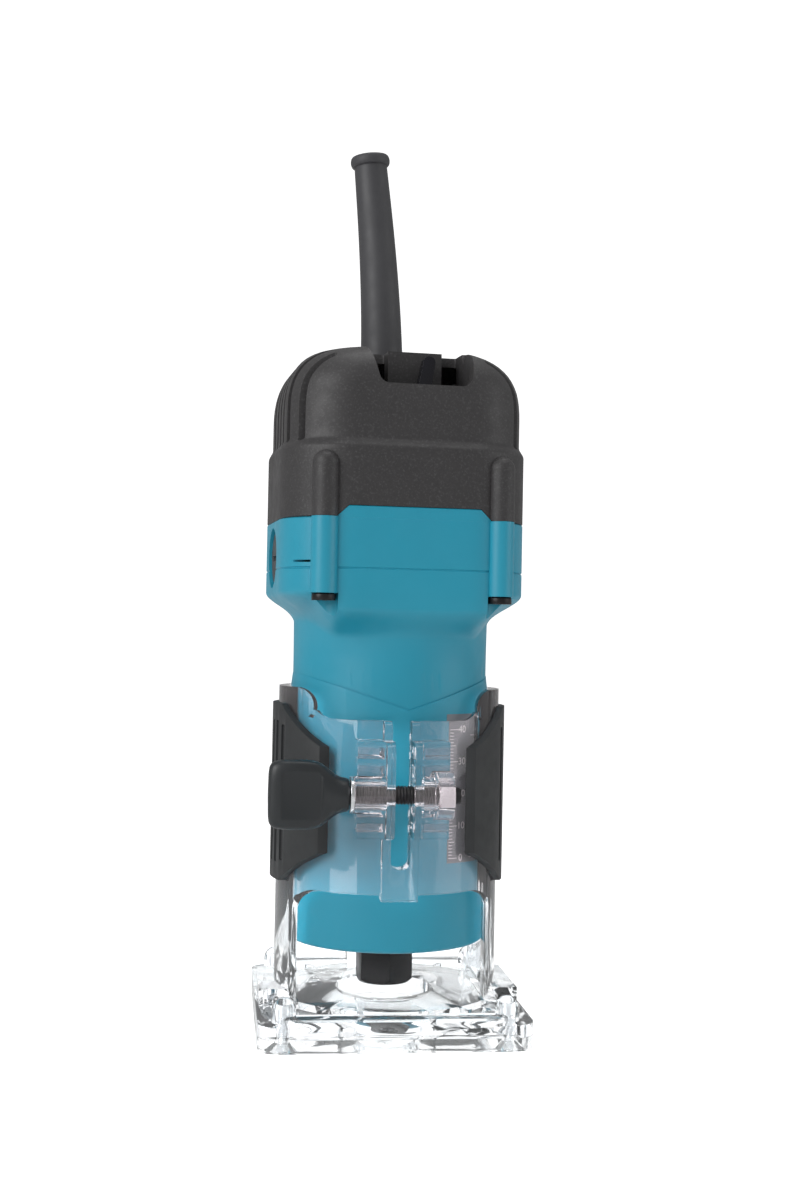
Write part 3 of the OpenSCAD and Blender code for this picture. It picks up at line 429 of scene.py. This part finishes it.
def makeHousing():
    h = housing
    w, d, r = h["head"]
    barrel = h["barrelR"]

    # between the round barrel and the head's outline; lower at the front and rear than at the sides
    def blend(share, height):
        def at(angle):
            radius = sunk + share * (roundedRadius(angle, w, d, r) - sunk)
            x = abs(radius * math.cos(angle))
            t = min(max((31 - x) / 9, 0), 1)
            drop = h["frontDrop"] * t * t * (3 - 2 * t)
            return radius * mm, (height - drop) * mm
        return at

    arc = [(barrel - h["edge"] * (1 - math.sin(a)), h["bottom"] + h["edge"] * (1 - math.cos(a)))
           for a in (math.radians(k) for k in range(0, 91, 15))]
    levels = [level(10 * mm, h["bottom"] * mm)] + [level(x * mm, z * mm) for x, z in arc]
    sunk = barrel - h["sink"]
    levels += [level(barrel * mm, z * mm) for z in (40, 70, 92)]
    levels += [level(sunk * mm, z * mm) for z in (97, h["flareLow"] - 6)]
    # an S-shaped flare: hollow above the barrel, round below the head
    steps = h["steps"]
    low, high = h["flareLow"] + 5, h["flareHigh"] + 1
    for k in range(1, steps + 1):
        t = k / steps
        levels.append(blend(t * t * (3 - 2 * t) if t < 1 else 1.0, low + (high - low) * t ** 0.9))
    sunkIn, ease = h["groove"]
    for z in (124.5, h["seam"] - ease):
        levels.append(rectLevel(w * mm, d * mm, r * mm, z * mm))
    for z in (h["seam"] - 0.1, h["seam"] + 0.1):
        levels.append(rectLevel((w - sunkIn) * mm, (d - sunkIn) * mm, r * mm, z * mm))
    for z in (h["seam"] + ease, h["split"] - ease):
        levels.append(rectLevel(w * mm, d * mm, r * mm, z * mm))
    levels.append(rectLevel((w - sunkIn) * mm, (d - sunkIn) * mm, r * mm, (h["split"] - 0.05) * mm))
    obj = stack("motorHousing", levels, sides=160)

    # the panel above a shallow chevron is sunk a little
    tip, slope = h["chevron"]
    sleeve = rod(50 * mm, (0, 0, (tip - 5) * mm), (0, 0, 97 * mm), 64)
    cut(sleeve, rod(sunk * mm, (0, 0, 60 * mm), (0, 0, 120 * mm), 160))
    cut(sleeve, prism([(0, tip * mm), (60 * mm, (tip + 60 * slope) * mm), (60 * mm, 130 * mm),
                       (-60 * mm, 130 * mm), (-60 * mm, (tip + 60 * slope) * mm)], -60 * mm, 60 * mm),
        "INTERSECT")
    cut(obj, sleeve)

    # raised middle of the upper edge, front and rear
    half, top, topZ = h["tongue"]
    band = stack("tongue", [rectLevel((w - 0.06) * mm, (d - 0.06) * mm, r * mm, (h["split"] - 4) * mm),
                            rectLevel((w - 0.06) * mm, (d - 0.06) * mm, r * mm, (topZ - 0.3) * mm),
                            rectLevel((w - 0.6) * mm, (d - 0.6) * mm, r * mm, topZ * mm)], sides=160)
    cut(band, prism([(-half * mm, 141 * mm), (half * mm, 141 * mm), (half * mm, h["split"] * mm),
                     (top * mm, topZ * mm), (-top * mm, topZ * mm), (-half * mm, h["split"] * mm)],
                    -60 * mm, 60 * mm), "INTERSECT")
    cut(obj, band, "UNION")
    # bosses of the cover screws run up the corners
    bx, by, br = h["boss"]
    for i in (-1, 1):
        for j in (-1, 1):
            cut(obj, rod(br * mm, (i * bx * mm, j * by * mm, 121.6 * mm),
                         (i * bx * mm, j * by * mm, (h["split"] - 0.05) * mm), 48), "UNION")
    # insides
    boreR, boreLow, boreHigh = h["bore"]
    cut(obj, rod(boreR * mm, (0, 0, boreLow * mm), (0, 0, boreHigh * mm), 96))
    wall, floor = h["cavity"]
    inner = stack("cutter", [rectLevel((w - 2 * wall) * mm, (d - 2 * wall) * mm, (r - wall) * mm, z * mm)
                             for z in (floor, 150)])
    cut(obj, inner)
    # head pockets and the channels under them
    pocketR, pocketTop = h["screwPocket"]
    for i in (-1, 1):
        for j in (-1, 1):
            cut(obj, rod(pocketR * mm, (i * bx * mm, j * by * mm, 100 * mm),
                         (i * bx * mm, j * by * mm, pocketTop * mm), 48))
            cut(obj, box(*sorted((i * (bx - pocketR) * mm, i * (bx + pocketR) * mm)),
                         *sorted((j * by * mm, j * 50 * mm)), 105 * mm, pocketTop * mm))
    # brush cap recesses and their holes
    rx, rr, rz = h["recess"]
    for i in (-1, 1):
        cut(obj, rod(rr * mm, (i * rx * mm, 0, rz * mm), (i * 50 * mm, 0, rz * mm), 64))
        cut(obj, rod(h["brushHole"] * mm, (i * 20 * mm, 0, rz * mm), (i * 50 * mm, 0, rz * mm), 48))
    # latch slot on the left
    cut(obj, box(*(v * mm for v in h["latch"])))
    # nose: bearing seat, spindle hole and air outlets
    seatR, seatLow, seatHigh = h["bearingSeat"]
    cut(obj, rod(seatR * mm, (0, 0, seatLow * mm), (0, 0, seatHigh * mm), 64))
    cut(obj, rod(h["spindleHole"] * mm, (0, 0, 5 * mm), (0, 0, (seatLow + 2) * mm), 64))
    count, ring, holeR = h["outlets"]
    for k in range(count):
        a = math.radians(15 + 360 / count * k)
        x, y = ring * math.cos(a) * mm, ring * math.sin(a) * mm
        cut(obj, rod(holeR * mm, (x, y, 5 * mm), (x, y, 30 * mm), 32))
    turnWithMotor(obj)
    finish(obj, "motor_unit", tealPlastic, "housing_plastic", "motor_housing", angle=30)


makeHousing()
print("motor housing made")

# in mm, in the same frame as the housing
cover = {
    "band": (79.5, 74.0, 22.0), "upper": (77.0, 69.0, 20.5), "split": 145.3,
    "bandTop": 167.0, "shoulder": 170.5, "crown": 201.0, "sideDrop": 22.0, "sideRun": 18.0, "crease": 186.0,
    "frontRun": 13.0,
    "vents": 7, "ventStep": 7.0, "ventHalf": 1.2, "pocket": (-11.0, 17.7, -14.0, 183.0, 187.5),
    "gaps": ((-14.0, -5.2), (12.6, 19.0)), "spread": 2.6, "wall": 3.0, "postTop": 161.6, "room": 0.1,
    "trayFront": -33.0, "wellFront": -29.5, "slot": (-5.5, 12.5, -23.2, -16.8), "guardSeat": (-2.0, 14.0, 7.4),
    "above": 230.0}


# the moulding's outer form, or its inside when inset
def coverForm(name, inset):
    c = cover
    bw, bd, br = c["band"][0] - 2 * inset, c["band"][1] - 2 * inset, c["band"][2] - inset
    uw, ud, ur = c["upper"][0] - 2 * inset, c["upper"][1] - 2 * inset, c["upper"][2] - inset
    top = c["crown"] - inset
    levels = [rectLevel((bw - 0.5) * mm, (bd - 0.5) * mm, br * mm, (c["split"] + 0.05 - 3 * (inset > 0)) * mm),
              rectLevel(bw * mm, bd * mm, br * mm, (c["split"] + 0.35) * mm),
              rectLevel(bw * mm, bd * mm, br * mm, (c["bandTop"] - 1) * mm)]
    steps = 6
    for k in range(steps + 1):
        t = k / steps
        e = t * t * (3 - 2 * t)
        levels.append(rectLevel((bw + (uw - bw) * e) * mm, (bd + (ud - bd) * e) * mm, (br + (ur - br) * e) * mm,
                                (c["bandTop"] + (c["shoulder"] - c["bandTop"]) * t) * mm))
    # crown: the half widths fall away as on two crossed arches
    for z in [174, 177] + [top - (top - 177) * (1 - t / 16) ** 1.7 for t in range(1, 17)]:
        up = (z - (top - c["sideDrop"])) / c["sideDrop"]
        up = min(max(up, 0), 1)
        hx = uw / 2 - c["sideRun"] + c["sideRun"] * (1 - up ** 2.35) ** (1 / 2.35)
        fore = min(max((z - c["crease"]) / (top - c["crease"]), 0), 1)
        hy = ud / 2 - c["frontRun"] + c["frontRun"] * math.sqrt(max(0, 1 - fore * fore))
        levels.append(rectLevel(2 * hx * mm, 2 * hy * mm, min(ur, hx - 1, hy - 1) * mm, z * mm))
    return stack(name, levels, sides=160)


def makeCover():
    c = cover
    obj = coverForm("rearCover", 0)
    bx, by, br = housing["boss"]
    for i in (-1, 1):
        for j in (-1, 1):
            peak = (i * bx * mm, j * by * mm, c["postTop"] * mm)
            post = rod(br * mm, (i * bx * mm, j * by * mm, (c["split"] + 0.05) * mm), peak, 48)
            deselectAll()
            bpy.ops.mesh.primitive_uv_sphere_add(segments=48, ring_count=24, radius=br * mm, location=peak)
            dome = bpy.context.object
            bake(dome)
            cut(post, dome, "UNION")
            cut(obj, post, "UNION")
    cut(obj, coverForm("cutter", c["wall"]))
    half, top, topZ = housing["tongue"]
    room = c["room"]
    cut(obj, prism([(-(half + room) * mm, 141 * mm), ((half + room) * mm, 141 * mm),
                    ((half + room) * mm, (c["split"] + 0.05) * mm), ((top + room) * mm, (topZ + room) * mm),
                    (-(top + room) * mm, (topZ + room) * mm), (-(half + room) * mm, (c["split"] + 0.05) * mm)],
                   -60 * mm, 60 * mm))
    # switch pocket: a tray let into the crown, open to the front
    x0, x1, y1, floor, lip = c["pocket"]
    tray = box((x0 - 2) * mm, (x1 + 2) * mm, c["trayFront"] * mm, (y1 + 6) * mm, (floor - 2) * mm,
               (c["crown"] - 0.6) * mm)
    solid = coverForm("cutter", 0.5)
    cut(tray, solid, "INTERSECT")
    cut(obj, tray, "UNION")
    well = box(x0 * mm, x1 * mm, c["wellFront"] * mm, y1 * mm, floor * mm, c["above"] * mm)
    soften(well, 1.6 * mm, 4)
    right, left = x1 + c["spread"], x0 - c["spread"] - 1
    mouth = prism([(x0 * mm, lip * mm), (x1 * mm, lip * mm), (right * mm, (c["crown"] + 1) * mm),
                   (right * mm, c["above"] * mm), (left * mm, c["above"] * mm),
                   (left * mm, (c["crown"] + 1) * mm)], -60 * mm, (y1 - 1) * mm)
    soften(mouth, 2.4 * mm, 5, 50)
    cut(obj, mouth)
    cut(obj, well)
    # deep slots each side of the block behind the lever
    for a, b in c["gaps"]:
        gap = box(a * mm, b * mm, -28 * mm, -7 * mm, 176 * mm, c["above"] * mm)
        soften(gap, 0.8 * mm, 3)
        cut(obj, gap)
    cut(obj, box(*(v * mm for v in c["slot"]), (floor - 4) * mm, (floor + 1) * mm))
    # vents over both shoulders
    for i in (-1, 1):
        for k in range(c["vents"]):
            y = -26 + k * c["ventStep"]
            slot = box(*sorted((i * 24 * mm, i * 60 * mm)), (y - c["ventHalf"]) * mm, (y + c["ventHalf"]) * mm,
                       (c["shoulder"] - 1.2) * mm, 205 * mm)
            soften(slot, 0.7 * mm, 3)
            cut(obj, slot)
    # seat of the cord guard
    x, y, seatR = c["guardSeat"]
    cut(obj, rod(seatR * mm, (x * mm, y * mm, (c["crown"] - 9) * mm),
                 (x * mm, y * mm, (c["crown"] + 6) * mm), 64))
    turnWithMotor(obj)
    finish(obj, "motor_unit", charcoalPlastic, "cover_plastic", "rear_cover", angle=30)


makeCover()
print("rear cover made")

# CAD node: piece name, material, edge rounding in mm
clearParts = {"clear_base": ("clearBase", clearBody, 0.45), "sole_sheet": ("soleSheet", clearSole, 0.4)}
airGap = 0.06


def makeClearBase():
    for node, (name, material, width) in clearParts.items():
        obj = cadCopy(node, name)
        if node == "sole_sheet":  # a hair of air under the base
            top = max(v.co.z for v in obj.data.vertices)
            for v in obj.data.vertices:
                v.co.z -= airGap * mm if v.co.z > top - 0.01 * mm else 0
        soften(obj, width * mm, 3, 30)
        finish(obj, "base", material, "clear_polycarbonate", node)
        obj.visible_shadow = False


makeClearBase()
print("clear base made")

knob = {"y": -44.5, "z": 77.7, "face": (-37.6, -24.4, 8.0), "half": 3.9, "sink": 0.35, "bore": 2.97,
        # distance from the middle of the slot, half thickness, half height, squareness
        "stations": ((16.4, 4.5, 4.5, 2.0), (16.9, 5.1, 5.1, 2.0), (19.0, 5.1, 5.3, 2.0),
                     (21.0, 4.9, 6.3, 2.2), (23.2, 4.5, 8.2, 2.6), (25.2, 4.1, 9.7, 3.2),
                     (27.5, 3.9, 10.4, 4.0), (31.0, 3.9, 10.5, 4.6), (36.0, 3.9, 10.5, 4.6),
                     (38.6, 3.7, 10.2, 4.2), (40.2, 3.1, 9.4, 3.6), (41.0, 2.0, 7.8, 3.2))}


def makeKnob():
    def ovalLevel(a, b, power, height):
        def at(angle):
            c, s = abs(math.cos(angle)) / a, abs(math.sin(angle)) / b
            return mm / (c ** power + s ** power) ** (1 / power), height * mm
        return at

    obj = stack("wingKnob", [ovalLevel(b, a, p, x) for x, a, b, p in knob["stations"]], sides=64)
    obj.matrix_world = Matrix.Rotation(math.radians(-90), 4, "Y")
    bake(obj)
    modify(obj, "SUBSURF", levels=1, render_levels=1)
    far, near, half = knob["face"]
    for i in (-1, 1):
        dish = box(far * mm, near * mm, *sorted((i * (knob["half"] - knob["sink"]) * mm, i * 6 * mm)),
                   -half * mm, half * mm)
        soften(dish, 2.2 * mm, 4, 80)
        cut(obj, dish)
    cut(obj, rod(knob["bore"] * mm, (-30 * mm, 0, 0), (-10 * mm, 0, 0), 48))
    obj.matrix_world = Matrix.Translation((0, knob["y"] * mm, knob["z"] * mm))
    bake(obj)
    finish(obj, "clamp_knob", knobPlastic, "knob_plastic", "wing_knob", angle=40)


makeKnob()
print("wing knob made")

grip = {"inner": 36.4, "outer": 38.3, "edge": (-29.3, 29.3, 58.0, 91.0), "flat": (-13.0, 13.0, 47.0, 103.5),
        "grooves": 7, "step": 7.4, "width": 2.5, "depth": 1.1, "margin": 5.5}


def makeGrip(side):
    g = grip
    y0, y1, z0, z1 = g["edge"]
    f0, f1, low, high = g["flat"]
    obj = rod(g["outer"] * mm, (0, 0, 40 * mm), (0, 0, 110 * mm), 256, "gripRight" if side > 0 else "gripLeft")
    cut(obj, rod(g["inner"] * mm, (0, 0, 30 * mm), (0, 0, 120 * mm), 256))
    outline = [(y0, z0), (f0, low), (f1, low), (y1, z0), (y1, z1), (f1, high), (f0, high), (y0, z1)]
    hexa = prism([(y * mm, z * mm) for y, z in outline], 20 * mm, 60 * mm)
    hexa.matrix_world = Matrix.Rotation(math.radians(-90), 4, "Z")
    bake(hexa)
    cut(obj, hexa, "INTERSECT")
    for k in range(g["grooves"]):
        angle = math.radians((k - (g["grooves"] - 1) / 2) * g["step"])
        y = abs(math.sin(angle)) * g["outer"]
        share = min(max((y - f1) / (y1 - f1), 0), 1)
        bottom = low + (z0 - low) * share + g["margin"]
        top = high + (z1 - high) * share - g["margin"]
        slot = box((g["outer"] - g["depth"]) * mm, 45 * mm, -g["width"] / 2 * mm, g["width"] / 2 * mm,
                   bottom * mm, top * mm)
        soften(slot, 0.8 * mm, 3, 80)
        slot.matrix_world = Matrix.Rotation(angle, 4, "Z")
        bake(slot)
        cut(obj, slot)
    if side < 0:
        obj.matrix_world = Matrix.Rotation(math.pi, 4, "Z")
        bake(obj)
    soften(obj, 0.35 * mm, 2, 40)
    finish(obj, "base", gripRubber, "grip_rubber", "grip_right" if side > 0 else "grip_left")


makeGrip(-1)
makeGrip(1)
print("grips made")

guard = {"x": -2.0, "y": 14.0, "z": 201.0, "length": 71.5, "lean": 5.6, "straight": 0.78, "thick": (7.2, 5.5),
         "bead": (0.95, 6.7), "bore": 3.6, "power": 1.6}


def guardPlace(t):
    g = guard
    s, p = g["straight"], g["power"]
    off = t ** p if t < s else s ** p + p * s ** (p - 1) * (t - s)
    return Vector((g["x"] - g["lean"] * off, g["y"], g["z"] + g["length"] * t)) * mm


def makeGuard():
    g = guard
    r0, r1 = g["thick"]
    beadFrom, beadR = g["bead"]
    stops = [(k / 40, r0 + (r1 - r0) * k / 40) for k in range(0, 38)]
    # a rolled lip at the free end
    mid, half = (beadFrom + 1) / 2, (1 - beadFrom) / 2
    slim = r0 + (r1 - r0) * beadFrom
    for k in range(9):
        a = math.pi * k / 8
        stops.append((mid - half * math.cos(a), slim + (beadR - slim) * math.sin(a) ** 0.7))
    points = [(Vector((g["x"], g["y"], g["z"] - 8)) * mm, r0 * mm)]
    points += [(guardPlace(t), r * mm) for t, r in stops]
    curve = bpy.data.curves.new("cordGuard", "CURVE")
    curve.dimensions = "3D"
    curve.bevel_depth = 1
    curve.bevel_resolution = 14
    curve.use_fill_caps = True
    line = curve.splines.new("POLY")
    line.points.add(len(points) - 1)
    for point, (place, radius) in zip(line.points, points):
        point.co = (*place, 1)
        point.radius = radius
    obj = bpy.data.objects.new("cordGuard", curve)
    bpy.context.scene.collection.objects.link(obj)
    pick(obj)
    bpy.ops.object.convert(target="MESH")
    obj = bpy.context.object
    bpy.ops.object.mode_set(mode="EDIT")
    bpy.ops.mesh.select_all(action="SELECT")
    bpy.ops.mesh.remove_doubles(threshold=0.001 * mm)
    bpy.ops.mesh.normals_make_consistent(inside=False)
    bpy.ops.object.mode_set(mode="OBJECT")
    tip, back = guardPlace(1), guardPlace(0.8)
    along = (tip - back).normalized()
    cut(obj, rod(g["bore"] * mm, tip - along * 30 * mm, tip + along * 5 * mm, 48))
    turnWithMotor(obj)
    finish(obj, "motor_unit", guardRubber, "guard_rubber", "cord_guard", angle=50)


makeGuard()
print("cord guard made")

# edges in degrees round the barrel, heights in mm, and how long the long, middle and short marks are
scale = {"from": 23.0, "to": 45.0, "zero": 39.5, "radius": 32.61, "reach": 40, "text": 3.1, "textTurn": 9.2,
         "filmLift": 1.0036, "line": 0.11, "ink": 0.03, "inset": 0.5, "metric": (3.2, 2.1, 1.3),
         "inch": (3.0, 2.0, 1.2), "sixteenths": 26}


# sets a flat mark, drawn about the origin in x and z, on the barrel's surface
def onBarrel(obj, angle, z):
    radius = scale["radius"] * mm
    for v in obj.data.vertices:
        a = math.radians(angle) + v.co.x / radius
        r = radius + 0.01 * mm - v.co.y
        v.co = (r * math.sin(a), -r * math.cos(a), v.co.z + z)


def makeTick(length, angle, side, z):
    tick = box(-length / 2 * mm, length / 2 * mm, -scale["ink"] * mm, 0,
               -scale["line"] * mm, scale["line"] * mm, "tick")
    shift = math.degrees((length / 2 + scale["inset"]) / scale["radius"])
    onBarrel(tick, angle + side * shift, z * mm)
    return tick


def makeScale():
    strip = cadCopy("depth_scale", "depthScale")
    for v in strip.data.vertices:  # its face lies a hair above the barrel
        v.co.x *= scale["filmLift"]
        v.co.y *= scale["filmLift"]
    finish(strip, "motor_unit", scaleFilm, "scale_film", "depth_scale", angle=60)
    marks = []
    long, middle, short = scale["metric"]
    for k in range(scale["reach"] + 1):
        length = long if k % 10 == 0 else (middle if k % 5 == 0 else short)
        marks.append(makeTick(length, scale["from"], 1, scale["zero"] + k))
    long, middle, short = scale["inch"]
    for k in range(scale["sixteenths"]):
        length = long if k % 8 == 0 else (middle if k % 4 == 0 else short)
        marks.append(makeTick(length, scale["to"], -1, scale["zero"] + k * 25.4 / 16))
    for k in range(0, scale["reach"] + 1, 10):
        deselectAll()
        bpy.ops.object.text_add()
        words = bpy.context.object
        words.data.body = str(k)
        words.data.size = scale["text"] * mm
        words.data.align_x = "CENTER"
        words.data.align_y = "CENTER"
        words.data.extrude = scale["ink"] / 2 * mm
        words.rotation_euler = (math.radians(90), 0, 0)
        bpy.ops.object.convert(target="MESH")
        words = bpy.context.object
        bake(words)
        onBarrel(words, scale["from"] + scale["textTurn"], (scale["zero"] + k) * mm)
        marks.append(words)
    deselectAll()
    for mark in marks:
        mark.select_set(True)
    bpy.context.view_layer.objects.active = marks[0]
    bpy.ops.object.join()
    obj = bpy.context.object
    obj.name = "scaleMarks"
    turnWithMotor(obj)
    finish(obj, "motor_unit", scaleInk, "scale_film")


makeScale()
print("depth scale made")

# CAD node: piece name, body, material, slot, edge rounding in mm
small = {
    "clamp_nut": ("clampNut", "base", zincSteel, "zinc_steel", 0.3),
    "clamp_washer": ("clampWasher", "clamp_travel", zincSteel, "zinc_steel", 0.2),
    "clamp_bolt": ("clampBolt", "clamp_knob", blackOxide, "black_steel", 0.06),
    "sole_screws": ("soleScrews", "base", zincSteel, "zinc_steel", 0.12),
    "cover_screws": ("coverScrews", "motor_unit", blackOxide, "black_steel", 0.15),
    "collet_nut": ("colletNut", "collet_nut", blackOxide, "black_steel", 0.35),
    "collet": ("colletCone", "collet_travel", groundSteel, "bearing_steel", 0.12),
    "armature_shaft": ("armatureShaft", "armature", groundSteel, "bearing_steel", 0.15),
    "brush_cap_left": ("brushCapLeft", "motor_unit", darkNylon, "cap_plastic", 0.35),
    "brush_cap_right": ("brushCapRight", "motor_unit", darkNylon, "cap_plastic", 0.35),
    "switch_lever": ("toggleLever", "switch_lever", glossBlack, "switch_plastic", 0.7),
    "toggle_switch": ("toggleSwitch", "motor_unit", darkNylon, "cap_plastic", 0.4)}


def makeSmall():
    for node, (name, body, material, slot, width) in small.items():
        obj = cadCopy(node, name)
        soften(obj, width * mm, 2, 30)
        finish(obj, body, material, slot, node)


makeSmall()
print("small pieces made")

kept = {
    "cord_clamp": darkNylon, "cord_clamp_screws": zincSteel, "brush_holder_left": stampedBrass,
    "brush_holder_right": stampedBrass, "carbon_brush_left": carbonBlock, "carbon_brush_right": carbonBlock,
    "brush_spring_left": zincSteel, "brush_spring_right": zincSteel, "stator_core": laminated,
    "field_coils": copperWire, "fan_baffle": darkNylon, "bearing_bridge": castAlloy, "bridge_screws": zincSteel,
    "upper_bearing": groundSteel, "lower_bearing": groundSteel, "bearing_retainer": groundSteel,
    "retainer_screws": zincSteel, "capacitor": ochreResin, "armature_core": laminated,
    "armature_windings": copperWire, "commutator": copperWire, "cooling_fan": darkNylon,
    "upper_inner_race": groundSteel, "lower_inner_race": groundSteel}
for node, material in kept.items():
    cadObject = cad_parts[node]
    cadObject.data.materials.clear()
    cadObject.data.materials.append(material)
print("CAD pieces finished")


# one strength for lighting the scene, a brighter one where the camera sees it
def seenWhite(tree, socket, lighting, seen):
    path = tree.nodes.new("ShaderNodeLightPath")
    either = tree.nodes.new("ShaderNodeMath")
    either.operation = "MAXIMUM"
    tree.links.new(path.outputs["Is Camera Ray"], either.inputs[0])
    tree.links.new(path.outputs["Is Transmission Ray"], either.inputs[1])
    span = tree.nodes.new("ShaderNodeMapRange")
    span.inputs["To Min"].default_value = lighting
    span.inputs["To Max"].default_value = seen
    tree.links.new(either.outputs["Value"], span.inputs["Value"])
    tree.links.new(span.outputs["Result"], socket)


# a pale floor that sweeps up behind, soft boxes and an even sky
studio = {
    "lighting": 0.42, "seen": 1.0, "paperGlow": 0.75,
    # place, size in m and power in W of each soft box
    "lamps": {"keyLeft": ((-0.75, -0.55, 0.55), 0.6, 6.5), "fillRight": ((0.85, -0.35, 0.35), 0.6, 1.6),
              "overhead": ((0.1, 0.05, 1.1), 0.6, 3.0)}}


def makeStudio():
    deselectAll()
    bpy.ops.mesh.primitive_plane_add(size=4, location=(0, 0.6, -0.4 * mm))
    floor = bpy.context.object
    floor.name = "studioFloor"
    bpy.ops.object.mode_set(mode="EDIT")
    bpy.ops.mesh.select_all(action="DESELECT")
    form = bmesh.from_edit_mesh(floor.data)
    for e in form.edges:
        e.select = all(v.co.y > 1 for v in e.verts)
    bmesh.update_edit_mesh(floor.data)
    bpy.ops.mesh.extrude_edges_move(TRANSFORM_OT_translate={"value": (0, 0, 3)})
    bpy.ops.object.mode_set(mode="OBJECT")
    modify(floor, "BEVEL", width=0.8, segments=16, limit_method="ANGLE", angle_limit=math.radians(60))
    bake(floor)
    smooth(floor, 60)
    paper = surface("studioPaper", (0.86, 0.86, 0.86), (0.88, 0.88, 0.88), (0.75, 0.85), toneScale=3, grain=0.0)
    paper.node_tree.nodes["Principled BSDF"].inputs["Emission Color"].default_value = (1, 1, 1, 1)
    seenWhite(paper.node_tree, paper.node_tree.nodes["Principled BSDF"].inputs["Emission Strength"], 0.0,
              studio["paperGlow"])
    floor.data.materials.clear()
    floor.data.materials.append(paper)
    world = bpy.data.worlds.new("studioSky")
    bpy.context.scene.world = world
    world.use_nodes = True
    world.node_tree.nodes["Background"].inputs["Color"].default_value = (1, 1, 1, 1)
    seenWhite(world.node_tree, world.node_tree.nodes["Background"].inputs["Strength"], studio["lighting"],
              studio["seen"])
    for name, (place, size, power) in studio["lamps"].items():
        deselectAll()
        bpy.ops.object.light_add(type="AREA", location=place)
        lamp = bpy.context.object
        lamp.name = name
        lamp.data.shape = "SQUARE"
        lamp.data.size = size
        lamp.data.energy = power
        aim = Vector((0, 0, 0.12)) - Vector(place)
        lamp.rotation_mode = "QUATERNION"
        lamp.rotation_quaternion = aim.to_track_quat("-Z", "Y")
    bpy.context.scene.view_settings.view_transform = "Standard"


makeStudio()
print("studio set")
